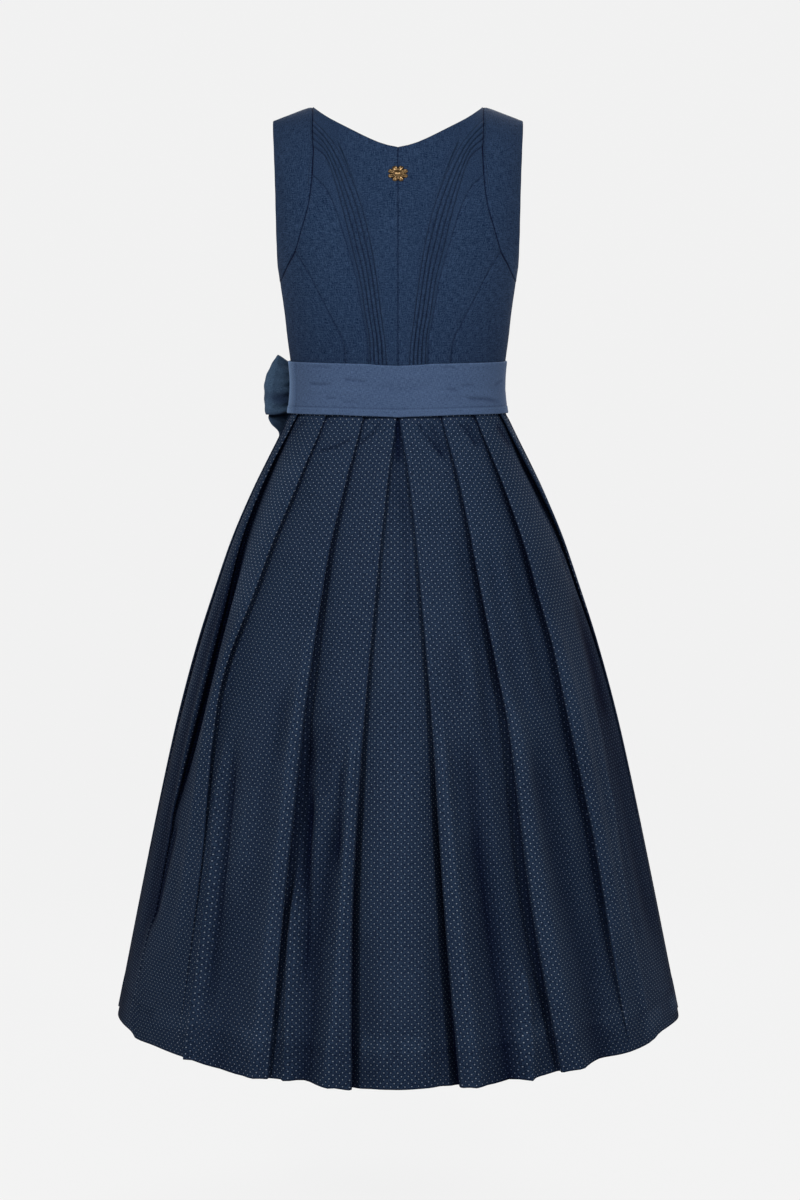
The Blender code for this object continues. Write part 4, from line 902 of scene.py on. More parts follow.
def clothAcross(path, noses, tucked, samples):  # cloth's own measure, from each folded edge
    run = runLength(path, 1)
    u = run.copy()
    for k, (nose, fold) in enumerate(zip(noses, tucked)):
        n, m = nose * samples, fold * samples
        following = tucked[k + 1] * samples if k + 1 < len(tucked) else run.shape[1] - 1
        u[:, n:following + 1] = run[:, n:following + 1] - run[:, n:n + 1] + run[0, n]
        t = np.linspace(0, 1, n - m + 1)[None]
        u[:, m:n + 1] = u[:, m:m + 1] * (1 - t) + run[0, n] * t
    return u


def makeSkirt():
    # rows stand closer together at the hem and under the band
    heights = np.concatenate([[dress["hem"], dress["hem"] + 0.0006], np.linspace(
        dress["hem"] + 0.002, -0.118, 94), np.linspace(-0.114, -0.0345, 26), [-0.017, 0.0]])
    m = skirt["samples"]
    sides = []
    for name, sign in (("right", 1), ("left", -1)):
        degrees, depths, shades, noses, tucked, split = sideOfSkirt(
            skirt[name + "Folds"], skirt[name + "Force"], heights)
        control = ringOut(skirtForm, degrees * sign, heights[:, None], -depths)
        path = softPath(np.concatenate([control, shades[..., None]], axis=-1), m)
        u = clothAcross(path[..., :2], noses, tucked, m) * sign
        sides.append((path, u, split * m))
    profile = ringPoint(skirtForm, np.full_like(heights, 45.0), heights)
    v = runLength(raised(profile, heights))
    v = v - v[-1]
    (rightPath, rightU, rightCut), (leftPath, leftU, leftCut) = sides
    # at the front the left side's measure is set clear of the right side's
    halves = {
        "skirt_back": (np.concatenate([leftPath[:, leftCut:0:-1], rightPath[:, :rightCut + 1]], axis=1),
                       np.concatenate([leftU[:, leftCut:0:-1], rightU[:, :rightCut + 1]], axis=1)),
        "skirt_front": (np.concatenate([rightPath[:, rightCut:], leftPath[:, -2:leftCut - 1:-1]], axis=1),
                        np.concatenate([rightU[:, rightCut:], leftU[:, -2:leftCut - 1:-1] + 3.0], axis=1)),
    }
    for name, (path, u) in halves.items():
        shade, path = path[..., 2], path[..., :2]
        degrees = np.degrees(np.arctan2(path[..., 0], -path[..., 1]))
        high = np.broadcast_to(heights[:, None], degrees.shape)
        reach = np.linalg.norm(path, axis=-1)
        lift, dark = pressCreases(degrees, high, reach, skirtCreases)
        shade = np.clip(shade + dark, -0.7, 1)
        turnedUp = under(high, dress["hem"] + skirt["hemDeep"], 0.0012)
        path = path + unit(path) * lift[..., None]
        level = high + column(hemTable, "lift", degrees) * np.clip((-high - 0.55) / 0.28, 0, 1) ** 2
        # cloth behind a fold hangs a little lower at the hem
        behind = np.linalg.norm(ringPoint(skirtForm, degrees, high), axis=-1) - reach
        level = level - skirt["sag"] * np.clip(behind, 0, 0.03) * np.clip((-high - 0.60) / 0.23, 0, 1) ** 2
        normal = squareTo(np.gradient(path, axis=1))
        wall = skirt["wall"] * np.clip((high - dress["hem"]) / 0.0012, 0, 1) ** 0.5
        outer = raised(path + normal * (wall + skirt["hemRaise"] * turnedUp)[..., None], level)
        inner = raised(path - normal * wall[..., None], level)
        # painted highlights are kept weaker than the painted shade
        shade = np.where(shade < 0, skirt["highlightShare"] * shade, shade)
        hemLine = bell(high, dress["hem"] + skirt["hemDeep"], 0.0016)
        rim = shade + 0.16 * hemLine + 0.10 * turnedUp + 0.8 * bell(high, dress["hem"], 0.001)
        obj = shell(name, inner, outer, np.stack([u, np.broadcast_to(v[:, None], u.shape)], axis=-1), rim)
        finishPiece(obj, dottedLook, [name])


makeSkirt()
print("skirt pleated")


# apron

apron = {
    "rows": 84, "cols": 216, "hem": -0.755, "out": 0.0027, "wall": 0.0005, "waves": 9,
    "gathers": 34, "gatherLift": 0.0017, "gatherFade": 0.060, "ripple": 0.0012, "least": 0.0006,
    "turned": 0.018, "turnedRaise": 0.0005, "sideLess": 0.010, "flat": (0.72, 0.74),
    # long soft folds: width, rise, painted shade, then angle and height of each place, in mm and degrees
    "folds": [(9, 4.0, -0.12, [(117, -60), (115, -330), (124.5, -755)]),
              (10, -3.0, 0.26, [(124, -50), (126, -250), (130, -560), (132, -755)]),
              (8, 3.2, -0.12, [(131, -90), (134, -380), (138, -755)]),
              (9, -2.6, 0.20, [(139, -50), (143, -240), (146, -420)]),
              (11, 4.2, -0.12, [(148, -140), (149, -420), (151, -755)]),
              (10, -3.0, 0.24, [(156, -50), (158, -330), (160, -755)]),
              (9, 3.0, -0.10, [(167, -80), (169, -300), (170, -520)]),
              (12, -2.6, 0.20, [(177, -60), (179, -360), (180, -755)]),
              (10, 3.8, -0.12, [(187, -120), (189, -460), (188, -755)]),
              (9, -3.0, 0.24, [(197, -50), (199, -260), (201, -600)]),
              (11, 4.0, -0.12, [(207, -70), (210, -400), (209, -755)]),
              (10, -2.8, 0.24, [(217, -50), (218, -340), (219, -755)]),
              (9, 3.4, -0.10, [(226, -90), (227, -380), (224, -755)]),
              (9, -3.0, 0.24, [(236, -50), (235, -330), (231, -700)])],
}
apronTable = {
    "columns": "height spread wave",
    "rows": [(-0.755, 57.0, 0.0050), (-0.540, 60.0, 0.0042), (-0.330, 64.0, 0.0032),
             (-0.125, 70.0, 0.0022), (-0.048, 74.0, 0.0014), (-0.034, 75.0, 0.0006)],
}


def makeApron():
    heights = np.linspace(apron["hem"], -dress["bandHalf"] - 0.0002, apron["rows"])
    spread, wave = column(apronTable, "spread", heights), column(apronTable, "wave", heights)
    share = np.linspace(0, 1, apron["cols"])[None]
    degrees = 180 - spread[:, None] + 2 * spread[:, None] * share
    high = np.broadcast_to(heights[:, None], degrees.shape)
    lift = wave[:, None] * (0.5 - 0.5 * np.cos(2 * math.pi * apron["waves"] * share))
    fade = np.exp((high + 0.034) / apron["gatherFade"])
    # gathers of uneven width and height
    gather = 0.5 + 0.5 * np.sin(2 * math.pi * apron["gathers"] * share + 2.2 * np.sin(9 * share))
    gather = gather * (0.75 + 0.25 * np.sin(23 * share + 1))
    lift = lift + apron["gatherLift"] * fade * gather
    fold, shade = pressCreases(degrees, high, np.linalg.norm(ringPoint(skirtForm, degrees, high), axis=-1),
                               apron["folds"])
    lift = lift + np.maximum(fold, -lift)
    # painted shade between the gathers and a painted highlight on them, fading down from the band
    shade = shade + (0.28 - 0.45 * gather) * fade
    lift = lift + apron["ripple"] * np.sin(share * 31 + high * 14) * np.clip(-high * 3, 0, 1) ** 2
    lift = lift + apron["least"]
    path = ringOut(skirtForm, degrees, high, apron["out"] + lift)
    normal = squareTo(np.gradient(path, axis=1))
    across = runLength(path, 1)
    sideReach = np.minimum(across, across[:, -1:] - across)
    # the side hems are narrower
    edgeReached = np.minimum(sideReach + apron["sideLess"], high - apron["hem"])
    turned = under(edgeReached, apron["turned"], 0.0008)
    outer = raised(path + normal * (apron["wall"] + apron["turnedRaise"] * turned)[..., None], high)
    inner = raised(path - normal * apron["wall"], high)
    rim = shade + 0.4 * bell(edgeReached, apron["turned"], 0.0012)
    obj = shell("apron", inner, outer, np.stack([across, high], axis=-1), rim)
    finishPiece(obj, blueLook, ["apron"])
    low = np.searchsorted(heights, apron["hem"] + apron["turned"] - 0.002)
    lines = [outer[low, 6:-6]]
    for side in (0, 1):
        at = [np.argmin(np.abs((across[j] if side == 0 else across[j, -1] - across[j]) - 0.007))
              for j in range(low, len(heights) - 2)]
        lines.append(np.array([outer[j + low, i] for j, i in enumerate(at)]))
    return lines


apronLines = makeApron()
print("apron gathered")


# waist band

band = {
    "start": -123.0, "cols": 420, "rows": 46, "wall": 0.0017,
    "hemLine": 0.0103,           # the lower edge is turned and stitched this far up
    "stitchedUnder": 0.0022,
    "sideLight": (-84.5, 7.5), "sideHighlight": 2.6,  # angle and width of a painted highlight on the left side
    "sideFold": (-104.0, -71.5),  # the end of the tie is laid back over here
    # soft creases: width, rise, painted shade, then angle and height of each place, in mm and degrees
    "creases": [(1.7, -1.2, 0.34, [(-61, 6.5), (-51, 6.2), (-43, 7.5)]),
                (1.7, -1.2, 0.40, [(-38.5, 14), (-30, 12), (-22, 10.8)]),
                (1.7, -1.2, 0.40, [(33, 1.5), (37, 0), (42, -2.6)]),
                (2.0, -1.5, 0.50, [(44.5, -10.5), (50, -13), (59.5, -14), (72, -19)]),
                (1.6, -0.9, 0.34, [(42, 5.5), (52, 5.6)]), (1.7, -1.1, 0.40, [(65, 4.0), (76, 10.5)]),
                (1.7, -0.9, 0.30, [(-49, -11.8), (-41, -11.5)]),
                (1.9, -0.8, 0.28, [(-38.5, -16), (-27, -16.5)]),
                (1.4, -0.7, 0.30, [(-58, 29), (-44, 28.6)]), (1.4, -0.7, 0.30, [(30, 29), (40, 28.4)]),
                (4.0, 0.9, -0.05, [(-66, -3), (-40, -1), (-18, -5)]),
                (4.0, 0.8, -0.05, [(25, -7), (48, -5), (72, -9)]),
                (5.0, -0.8, 0.08, [(-20, 4), (6, 1), (28, 9)]), (5.0, 0.7, 0.0, [(-10, 16), (20, 18)]),
                (2.6, -1.2, 0.22, [(84, -4), (98, 2), (112, 4), (124, 2)]),
                (2.3, -1.2, 0.20, [(104, 14), (118, 10), (136, 12)]),
                (2.8, -1.3, 0.24, [(126, -8), (142, -12), (162, -10)]),
                (2.4, -1.1, 0.20, [(156, 7), (174, 4), (192, 8)]),
                (2.6, -1.2, 0.22, [(186, -9), (203, -13), (218, -7)]),
                (2.2, -1.3, 0.24, [(200, 13), (218, 6), (234, 2)]),
                (1.6, -1.2, 0.42, [(-121, 10), (-110, 4), (-101, 3)]),
                (1.6, -1.2, 0.42, [(-120, -9), (-108, -13), (-100, -12)])],
}
bandEdges = {  # the band sits closer above and dips at the centre back
    "columns": "angle top low",
    "rows": [(0, -0.0027, 0.0000), (12, -0.0020, 0.0010), (25, -0.0004, 0.0016), (45, 0.0000, 0.0026),
             (75, 0.0006, 0.0022), (95, 0.0004, 0.0010), (180, 0.0, 0.0)],
}


def makeBand():
    degrees = np.linspace(band["start"] + 0.05, band["start"] + 359.95, band["cols"])[None]
    half = dress["bandHalf"]
    rise = np.concatenate([[-half, -half + 0.0005, -half + 0.0012], np.linspace(
        -half + 0.002, half - 0.002, band["rows"]), [half - 0.0012, half - 0.0005, half]])[:, None]
    degrees, rise = np.broadcast_arrays(degrees, rise)
    lift, shade = pressCreases(degrees, rise, 0.135, band["creases"])
    fromLow, hemLine = rise + half, band["hemLine"]
    turned = under(fromLow, hemLine, 0.0004)
    first, last = band["sideFold"]
    laid = under(degrees, last, 0.35) * (1 - under(degrees, first, 0.35))
    lift = lift + 0.0004 * turned - 0.0005 * bell(fromLow, hemLine, 0.0007) + 0.0011 * laid
    lift = lift - 0.0007 * bell(np.minimum(fromLow, half - rise), 0, 0.0007)
    rim = shade + 0.55 * bell(fromLow, hemLine, 0.0008) - 0.12 * turned - 0.25 * laid
    rim = rim + 0.5 * bell(degrees, last + 0.5, 0.5) - 0.40 * bell(rise, half - 0.0008, 0.0008)
    # painted highlight on the left side of the band
    rim = rim - band["sideHighlight"] * bell(degrees, *band["sideLight"])
    share = fromLow / (2 * half)
    # at the sides the band is drawn in between its edges
    hug = (0.0015 * (1 - share) ** 2 - 0.0024 * np.sin(np.pi * share)) * np.sin(np.radians(degrees)) ** 4
    aside = np.abs((degrees + 180) % 360 - 180)
    level = rise + column(bandEdges, "top", aside) * share**2
    level = level + column(bandEdges, "low", aside) * (1 - share) ** 2
    inner, outer = (raised(ringOut(bodyForm, degrees, np.full_like(rise, half), out), level)
                    for out in (dress["bandOut"] + hug, dress["bandOut"] + hug + (band["wall"] + lift)))
    across = runLength(outer[10, :, :2])
    uv = np.stack([np.broadcast_to(across, rise.shape), rise], -1)
    obj = shell("waist_band", inner, outer, uv, np.clip(rim, -3.5, 1))
    finishPiece(obj, blueLook, ["waist_band"])
    row = int(np.argmin(np.abs(rise[:, 0] + half - hemLine + band["stitchedUnder"])))
    return [outer[row, 2:-2]]


bandLines = makeBand()
print("band laid")


# bow

bow = {
    "angle": -123.0, "along": 0.0105, "out": 0.0080, "tall": 0.0155, "loop": 0.0615, "wall": 0.0007,
    "tieWide": 0.078, "loopShare": 0.60,  # width of the tie, and the cloth of a loop in its flat size
    "tailWall": 0.0014, "tailWave": 0.0016, "tailSlack": 1.05,
    "back": {"way": 1, "lean": 0.10, "slant": 0.29, "creases": 5, "phase": 0.4, "bandShade": 1.0},
    "front": {"way": -1, "lean": 0.30, "slant": 0.10, "creases": 5, "phase": 1.9, "bandShade": 0.0},
}
loopTables = {
    "back": {"columns": "share open low high",
             "rows": [(0.00, 0.0030, -0.0120, 0.0120), (0.18, 0.0060, -0.0250, 0.0220),
                      (0.41, 0.0105, -0.0310, 0.0300), (0.67, 0.0140, -0.0345, 0.0340),
                      (0.88, 0.0110, -0.0360, 0.0380), (1.00, 0.0000, -0.0360, 0.0405)]},
    "front": {"columns": "share open low high",
              "rows": [(0.00, 0.0030, -0.0120, 0.0120), (0.18, 0.0055, -0.0240, 0.0220),
                       (0.41, 0.0085, -0.0330, 0.0300), (0.67, 0.0110, -0.0390, 0.0350),
                       (0.88, 0.0085, -0.0410, 0.0360), (1.00, 0.0000, -0.0400, 0.0350)]},
}


def bowFrame():  # middle of the knot, way along the band, way out
    out = dress["bandOut"] + band["wall"] + dress["gap"] + bow["out"]
    angle, height = np.array(bow["angle"]), np.array(dress["bandHalf"])
    centre = ringOut(bodyForm, angle, height, out)
    outward = ringNormal(bodyForm, angle, height)
    return centre, np.array([-outward[1], outward[0]]), outward


def makeLoop(which):
    loop, table = bow[which], loopTables[which]
    centre, run, outward = bowFrame()
    run = run * loop["way"]
    axis = run * math.cos(loop["lean"]) + outward * math.sin(loop["lean"])
    across = outward * math.cos(loop["lean"]) - run * math.sin(loop["lean"])
    turn = np.linspace(0, 1, 72)
    share = np.sin(np.pi * turn) ** 0.9  # out to the tip and back
    side = np.where(turn < 0.5, 1.0, -1.0)
    opening = column(table, "open", share)
    nearTip = np.clip((share - 0.88) / 0.12, 0, 1)
    opening = np.where(nearTip > 0, column(table, "open", 0.88) * np.sqrt(np.clip(1 - nearTip**2, 0, 1)),
                       opening)
    v = np.linspace(-1, 1, 34)[:, None]
    opening = opening * (1 - 0.85 * np.maximum(v, 0) ** 2 * np.clip(share * 2, 0, 1))
    reach = bow["loop"] * share * (1 - loop["slant"] * np.maximum(v, 0) ** 1.4 * share
                                   - 0.08 * np.maximum(-v - 0.4, 0) ** 2 * share)
    pinch = (1 - share) ** 0.8 * 0.0022 + 0.0006
    crease = pinch * np.cos(loop["creases"] * math.pi * v + loop["phase"] + side * 0.8)
    crease = crease * np.clip((1 - np.abs(v)) * 6, 0.25, 1)
    wide = opening * side + crease * np.clip(share * 8, 0, 1)
    start = bow["along"] + dress["gap"]
    blendIn = np.clip(share / 0.1, 0, 1)[None, :, None]
    away = outward * (1 - blendIn) + across * blendIn
    flat = centre + run * start + axis * reach[..., None] + away * wide[..., None]
    # heights, with a small twist along the loop
    low, high = column(table, "low", share), column(table, "high", share)
    z = low + (high - low) * (v + 1) / 2
    z = z + 0.0012 * np.sin(share * 7 + v * 2) * np.clip(share * 2 - 0.4, 0, 1)
    thick = bow["wall"] * np.clip((1 - np.abs(v)) * 30, 0.35, 1)  # thinner at the edges
    wall = squareTo(np.gradient(flat, axis=1)) * thick[..., None]
    length = runLength(flat[len(v) // 2])
    nearBand = np.clip((flat[..., 0] + 0.168) / 0.018, 0, 1)
    # painted shade along the edges, most along the lower edge, and a painted highlight in the middle
    rim = 0.5 * bell(np.abs(v), 1, 0.03) + 0.70 * bell(v, -1, 0.08) - 0.10 * bell(v, 0.1, 0.4)
    # painted shade in a crease on the lower third and, on the back loop, towards the band
    rim = rim + 0.50 * bell(v, 0.25 * share - 0.62, 0.16) + loop["bandShade"] * bell(v, -0.40, 0.28) * nearBand
    uv = np.stack([np.broadcast_to(length, z.shape), z], -1)
    name = "bow_loop_" + which
    obj = shell(name, raised(flat - wall, z), raised(flat + wall, z), uv, np.clip(rim, -1, 1))
    finishPiece(obj, bowLook, [name])


def makeKnot():  # the tie wrapped once round the middle of the bow
    centre, run, outward = bowFrame()
    slices, around = 26, 72
    t = np.linspace(-1, 1, slices)
    full = np.sqrt(np.clip(1 - np.abs(t) ** 5, 0, 1)) * (0.86 + 0.14 * np.cos(t * 1.4))
    turn = np.linspace(0, 2 * math.pi, around, endpoint=False)
    crease = 1 + 0.035 * np.cos(t[:, None] * 9 + 0.6 * np.sin(turn * 2)[None] + 0.7)
    size = np.maximum(full[:, None], 0.05) * crease * 0.97
    x = size * np.sign(np.cos(turn)) * np.abs(np.cos(turn)) ** 0.62 * bow["out"]
    z = size * np.sign(np.sin(turn)) * np.abs(np.sin(turn)) ** 0.62 * bow["tall"]
    flat = centre + run * (t * bow["along"])[:, None, None] + outward * x[..., None]
    uv = np.stack([np.repeat(t * bow["along"], around),
                   np.tile(np.abs(turn - math.pi) * 0.012, slices)], -1)
    # painted shade towards the ends of the knot, where the loops meet it, and in its creases
    rim = np.repeat(np.abs(t) ** 8, around) * 0.7 + np.clip(1 - crease.ravel(), 0, 1) * 6
    obj = ringForm("bow_knot", raised(flat, z), np.clip(rim, 0, 1), uv)
    finishPiece(obj, bowLook, ["bow_knot"])


tailTables = {
    "back": {"columns": "height rear fore out",
             "rows": [(-0.400, -119.0, -133.5, 0.0100), (-0.330, -117.5, -133.0, 0.0095),
                      (-0.250, -115.0, -132.0, 0.0090), (-0.180, -112.0, -131.0, 0.0090),
                      (-0.125, -111.0, -129.0, 0.0090), (-0.085, -109.0, -127.5, 0.0100),
                      (-0.062, -106.5, -127.0, 0.0118)]},
    "front": {"columns": "height rear fore out",
              "rows": [(-0.430, -139.0, -155.5, 0.0100), (-0.330, -138.0, -156.0, 0.0095),
                       (-0.250, -136.0, -156.0, 0.0090), (-0.180, -134.0, -156.0, 0.0090),
                       (-0.125, -132.0, -155.0, 0.0100), (-0.085, -131.0, -151.0, 0.0140),
                       (-0.060, -132.0, -145.0, 0.0200)]},
}
tailTops = {  # rear and fore edge from the knot: along, out, height of each
    "back": [((0.0085, 0.0, -0.0158), (0.0012, 0.0, -0.0158)),
             ((0.0400, 0.0065, -0.0310), (-0.0016, 0.0051, -0.0290)),
             ((0.0625, 0.0112, -0.0365), (-0.0047, 0.0078, -0.0400)),
             ((0.0660, 0.0018, -0.0480), (-0.0051, 0.0100, -0.0500))],
    "front": [((-0.0012, 0.0, -0.0158), (-0.0085, 0.0, -0.0158)),
              ((-0.0080, 0.0053, -0.0400), (-0.0240, 0.0060, -0.0400))],
}


def makeTail(which):  # rows from the knot down to the tail's end
    centre, run, outward = bowFrame()
    table, cols = tailTables[which], 30
    grid = []
    for rear, fore in tailTops[which]:
        a, b = np.array(rear), np.array(fore)
        line = a + (b - a) * np.linspace(0, 1, cols)[:, None]
        grid.append(raised(centre + run * line[:, :1] + outward * line[:, 1:2], line[:, 2]))
    for height, rear, fore, out in table["rows"][::-1]:
        level = np.full(cols, height)
        grid.append(raised(ringOut(skirtForm, np.linspace(rear, fore, cols), level, out), level))
    grid = throughRows(grid, 9)
    normal = unit(np.cross(np.gradient(grid, axis=1), np.gradient(grid, axis=0)))
    flip = np.sign((normal[..., :2] * grid[..., :2]).sum(-1, keepdims=True))
    normal = normal * np.where(flip == 0, 1, flip)
    share = np.linspace(0, 1, len(grid))[:, None]
    s = np.linspace(0, 1, cols)[None]
    fade = np.clip(share * 14, 0, 1)
    wave = (np.cos(2 * math.pi * (2.3 * s + 0.2)) * np.exp(-share * 3)
            + np.cos(2 * math.pi * (0.8 * s + share * 0.7))) * fade
    grid = grid + normal * (bow["tailWave"] * wave)[..., None]
    normal[0, :, 2] = 0  # the top edge stays level under the knot
    outer, inner = grid + normal * bow["tailWall"], grid
    u, length = runLength(grid, 1), runLength(grid[:, cols // 2])
    v = np.broadcast_to(-length[:, None], u.shape)
    near = np.minimum(u, u[:, -1:] - u)
    name = "bow_tail_" + which
    # darker along a line near each edge; the top rows painted paler, a painted highlight on cloth that faces
    # down under the knot
    rim = 0.5 * bell(near, 0.005, 0.0008) - 1.5 * bell(share, 0, 0.18)
    obj = shell(name, inner, outer, np.stack([u, v], -1), rim)
    finishPiece(obj, bowLook, [name])


makeLoop("back")
makeLoop("front")
makeKnot()
makeTail("back")
makeTail("front")
print("bow tied")


# rosette

rosette = {"height": 0.2715, "halfWide": 0.0130, "halfTall": 0.0102, "petals": 8, "around": 160,
           # share of the size, lift from the back, share of the petal shape
           "rings": [(0.97, 0.0000, 1.0), (1.00, 0.0003, 1.0), (1.00, 0.0008, 1.0), (0.97, 0.0012, 1.0),
                     (0.90, 0.0016, 1.0), (0.80, 0.0020, 0.9), (0.68, 0.0020, 0.7), (0.56, 0.0017, 0.4),
                     (0.44, 0.0013, 0.2), (0.36, 0.0012, 0.0), (0.33, 0.0019, 0.0), (0.27, 0.0026, 0.0),
                     (0.17, 0.0031, 0.0), (0.06, 0.0033, 0.0)]}


def onBack(x, height, lift):  # point lifted off the cloth of the back
    place = bodyPlace(np.abs(x), height)
    point = bodyPoint(place) + bodyNormal(place) * (dress["wall"] + dress["gap"] + lift)[..., None]
    point[..., 0] *= np.where(x < 0, -1, 1)
    return point


def makeRosette():
    turn = np.linspace(0, 2 * math.pi, rosette["around"], endpoint=False)
    cup = 0.5 + 0.5 * np.cos(rosette["petals"] * turn)
    points, rims = [], []
    for size, lift, shape in rosette["rings"]:
        petal = 1 - 0.19 * cup**1.6 * shape
        x = rosette["halfWide"] * size * petal * np.sin(turn)
        height = rosette["height"] + rosette["halfTall"] * size * petal * np.cos(turn)
        rib = 0.00045 * shape * np.cos(rosette["petals"] * turn * 2 + math.pi) * (lift > 0.0007)
        groove = -0.0007 * shape * cup**4 * (lift > 0.0007)
        lifted = np.maximum(lift + rib + groove, 0.0)
        points.append(onBack(x, height, lifted))
        rims.append(np.clip(0.85 - lifted / 0.0024 + 0.5 * cup**4 * shape, 0, 1))
    obj = ringForm("rosette", points, np.array(rims).ravel())
    finishPiece(obj, brassLook(), ["rosette"])


makeRosette()
print("rosette sewn on")


# stitches

stitch = {"Spacing": 0.0031, "Stitch length": 0.0021, "Thread radius": 0.00028}  # as the sockets say


def stitchTree(look):  # one small stitch repeated along lines
    tree = bpy.data.node_groups.new("stitchRun", "GeometryNodeTree")
    tree.interface.new_socket("Geometry", in_out="INPUT", socket_type="NodeSocketGeometry")
    sockets = {label: tree.interface.new_socket(label, in_out="INPUT", socket_type="NodeSocketFloat")
               for label in stitch}
    tree.interface.new_socket("Geometry", in_out="OUTPUT", socket_type="NodeSocketGeometry")
    curve, even, drop, place, turn, tangent, real, paint = (tree.nodes.new(kind) for kind in (
        "GeometryNodeMeshToCurve", "GeometryNodeResampleCurve", "GeometryNodeMeshCylinder",
        "GeometryNodeInstanceOnPoints", "FunctionNodeAlignEulerToVector", "GeometryNodeInputTangent",
        "GeometryNodeRealizeInstances", "GeometryNodeSetMaterial"))
    given, out = tree.nodes.new("NodeGroupInput"), tree.nodes.new("NodeGroupOutput")
    even.mode, drop.fill_type, turn.axis = "LENGTH", "TRIANGLE_FAN", "Z"
    drop.inputs["Vertices"].default_value = 6
    drop.inputs["Side Segments"].default_value = 1
    paint.inputs["Material"].default_value = look
    for source, outlet, target, inlet in (
            (given, "Geometry", curve, "Mesh"), (curve, "Curve", even, "Curve"),
            (given, "Spacing", even, "Length"), (given, "Stitch length", drop, "Depth"),
            (given, "Thread radius", drop, "Radius"), (even, "Curve", place, "Points"),
            (drop, "Mesh", place, "Instance"), (tangent, "Tangent", turn, "Vector"),
            (turn, "Rotation", place, "Rotation"), (place, "Instances", real, "Geometry"),
            (real, "Geometry", paint, "Geometry"), (paint, "Geometry", out, "Geometry")):
        tree.links.new(source.outputs[outlet], target.inputs[inlet])
    return tree, {label: socket.identifier for label, socket in sockets.items()}


def sewLines(name, lines, look):  # stitches along lines of points
    points, edges = [], []
    for line in lines:
        start = len(points)
        points += [(p[0], p[1], p[2] - dress["shoulder"]) for p in line]
        edges += [(start + k, start + k + 1) for k in range(len(line) - 1)]
    mesh = bpy.data.meshes.new(name)
    mesh.from_pydata(points, edges, [])
    guide = addObject(name + "_guide", mesh)
    tree, sockets = stitchTree(look)
    run = guide.modifiers.new("stitches", "NODES")
    run.node_group = tree
    for label, socket in sockets.items():
        run[socket] = stitch[label]
    evaluated = guide.evaluated_get(bpy.context.evaluated_depsgraph_get())
    made = bpy.data.meshes.new_from_object(evaluated)
    bpy.data.objects.remove(guide)
    made.shade_smooth()
    finishPiece(addObject(name, made), look, [])


def bodiceLines():  # along the tucks and the edge of the back straps
    points, normals, colsAt, rise = bodiceLaid
    onCloth = dress["wall"] + 0.0001
    first = 4 * bodice["fine"] + 1
    lines = []
    for tuck in range(bodice["tucks"] + 1):  # in the valley beside each tuck
        at = first + tuck * 10
        i = int(np.argmin(np.abs(colsAt - at)))
        line = points[8:-8, i] + normals[8:-8, i] * (onCloth + rise[8:-8, i])[:, None]
        lines += [line, line * [-1, 1, 1]]
    points, normals, colsAt, rise = strapLaid
    left = edgeReach(points)[0]
    rows = [j for j in range(len(points)) if 0.255 < points[j, 0, 2] < 0.345]
    at = [int(np.argmin(np.abs(left[j] - 0.0036))) for j in rows]
    line = np.array([points[j, i] + normals[j, i] * (onCloth + rise[j, i]) for j, i in zip(rows, at)])
    return lines + [line, line * [-1, 1, 1]]


sewLines("stitches_bodice", bodiceLines(), threadLook("navyThread", (0.005, 0.011, 0.026)))
sewLines("stitches_band", bandLines, threadLook("blueThread", (0.060, 0.100, 0.170)))
sewLines("stitches_apron", apronLines, threadLook("apronThread", (0.060, 0.100, 0.170)))
print("stitches sewn")


# stage, light and camera

stage = {"floor": -1.43, "grey": 0.03, "glow": 0.862, "back": 3.6, "bend": 1.6, "wide": 9.0,
         "front": 7.0, "tall": 7.0, "steps": 12}


def makeStage():
    profile = [(-stage["front"], 0.0), (stage["back"] - stage["bend"], 0.0)]
    for k in range(1, stage["steps"] + 1):
        a = math.pi / 2 * k / stage["steps"]
        profile.append((stage["back"] - stage["bend"] + stage["bend"] * math.sin(a),
                        stage["bend"] * (1 - math.cos(a))))
    profile.append((stage["back"], stage["tall"]))
    points = [(x, y, stage["floor"] + z) for y, z in profile for x in (-stage["wide"], stage["wide"])]
    faces = [(2 * k, 2 * k + 1, 2 * k + 3, 2 * k + 2) for k in range(len(profile) - 1)]
    mesh = bpy.data.meshes.new("floor")
    mesh.from_pydata(points, [], faces)
    mesh.shade_smooth()
    obj = addObject("floor", mesh)
    paper, tree, shader = newLook("palePaper")
    feed(tree, shader, {"Base Color": (*[stage["grey"]] * 3, 1), "Roughness": 1.0, "Specular IOR Level": 0.0,
                        "Emission Color": (1, 1, 1, 1), "Emission Strength": stage["glow"]})
    # from outside the paper is clear, so that it hides the dress in no view
    behind = addNode(tree, "NewGeometry").outputs["Backfacing"]
    seen = addNode(tree, "MixShader", None, _0=behind, _1=shader.outputs[0],
                   _2=addNode(tree, "BsdfTransparent").outputs[0])
    feed(tree, tree.nodes["Material Output"], {"Surface": seen.outputs[0]})
    mesh.materials.append(paper)


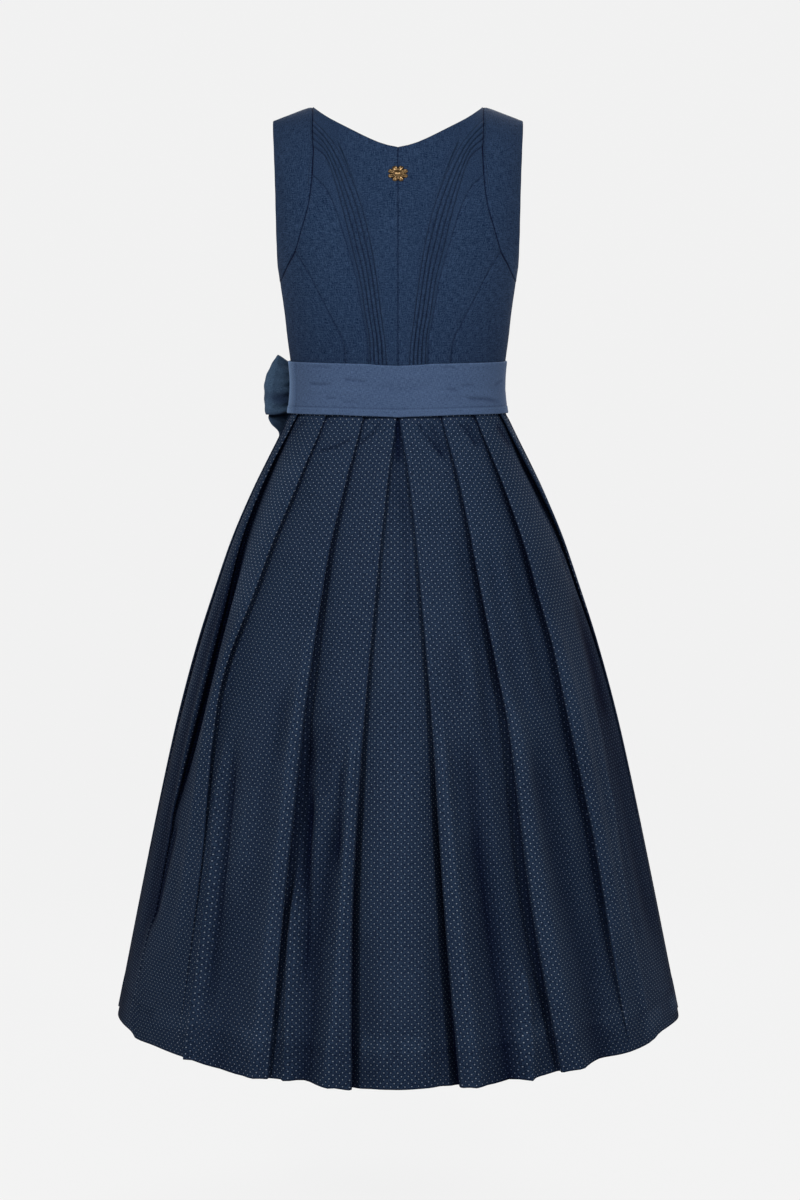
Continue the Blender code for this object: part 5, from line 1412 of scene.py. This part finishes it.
lights = [  # name, place, size, power, colour
    ("left", (-2.7, -3.1, 1.9), 0.9, 29, (1.0, 0.99, 0.97)),
    ("right", (2.7, -3.1, 1.7), 0.9, 26, (1.0, 0.99, 0.97)),
    ("front", (0.1, -3.8, 0.9), 1.2, 9, (1.0, 1.0, 1.0)),
    ("behind", (0.6, 2.6, 1.4), 2.2, 40, (1.0, 1.0, 1.0)),
]
lightAim, lightSpread = -0.15, 85  # height aimed at, and degrees; the light falls off towards the hem
air = {"dim": (0.93, 0.95, 1.0), "dimStrength": 0.06, "pale": 0.875}


def makeLights():
    for name, place, size, power, colour in lights:
        data = bpy.data.lights.new(name, "AREA")
        data.shape, data.size, data.energy, data.color = "DISK", size, power, colour
        data.spread = math.radians(lightSpread)
        obj = addObject(name, data)
        obj.location = place
        x, y, z = place[0], place[1], place[2] - lightAim
        obj.rotation_euler = (math.atan2(math.hypot(x, y), z), 0, math.atan2(x, -y))
    world = bpy.data.worlds.new("studio")
    world.use_nodes = True
    tree = world.node_tree
    dim = tree.nodes["Background"]
    feed(tree, dim, {"Color": (*air["dim"], 1), "Strength": air["dimStrength"]})
    # the camera sees a pale background, which lights nothing
    pale = addNode(tree, "Background", None, Color=(1, 1, 1, 1), Strength=air["pale"]).outputs[0]
    mixed = addNode(tree, "MixShader", None, _0=addNode(tree, "LightPath").outputs["Is Camera Ray"],
                    _1=dim.outputs[0], _2=pale)
    feed(tree, tree.nodes["World Output"], {"Surface": mixed.outputs[0]})
    bpy.context.scene.world = world


# focal length, picture height and the shift aside are counted in pixels of the picture
camera = {"distance": 4.0, "focal": 3077.0, "tilt": 6.12, "height": 0.1515, "imageHeight": 1200,
          "aside": 2.0, "sensor": 36}


def makeCamera():
    data = bpy.data.cameras.new("camera")
    data.sensor_fit, data.sensor_height = "VERTICAL", camera["sensor"]
    data.lens = camera["focal"] * camera["sensor"] / camera["imageHeight"]
    obj = addObject("camera", data)
    obj.location = (camera["aside"] * camera["distance"] / camera["focal"], -camera["distance"],
                    camera["height"] - dress["shoulder"])
    obj.rotation_euler = (math.radians(90 - camera["tilt"]), 0, 0)
    bpy.context.scene.camera = obj
    bpy.context.scene.view_settings.view_transform = "Standard"


makeStage()
makeLights()
makeCamera()
print("stage set")
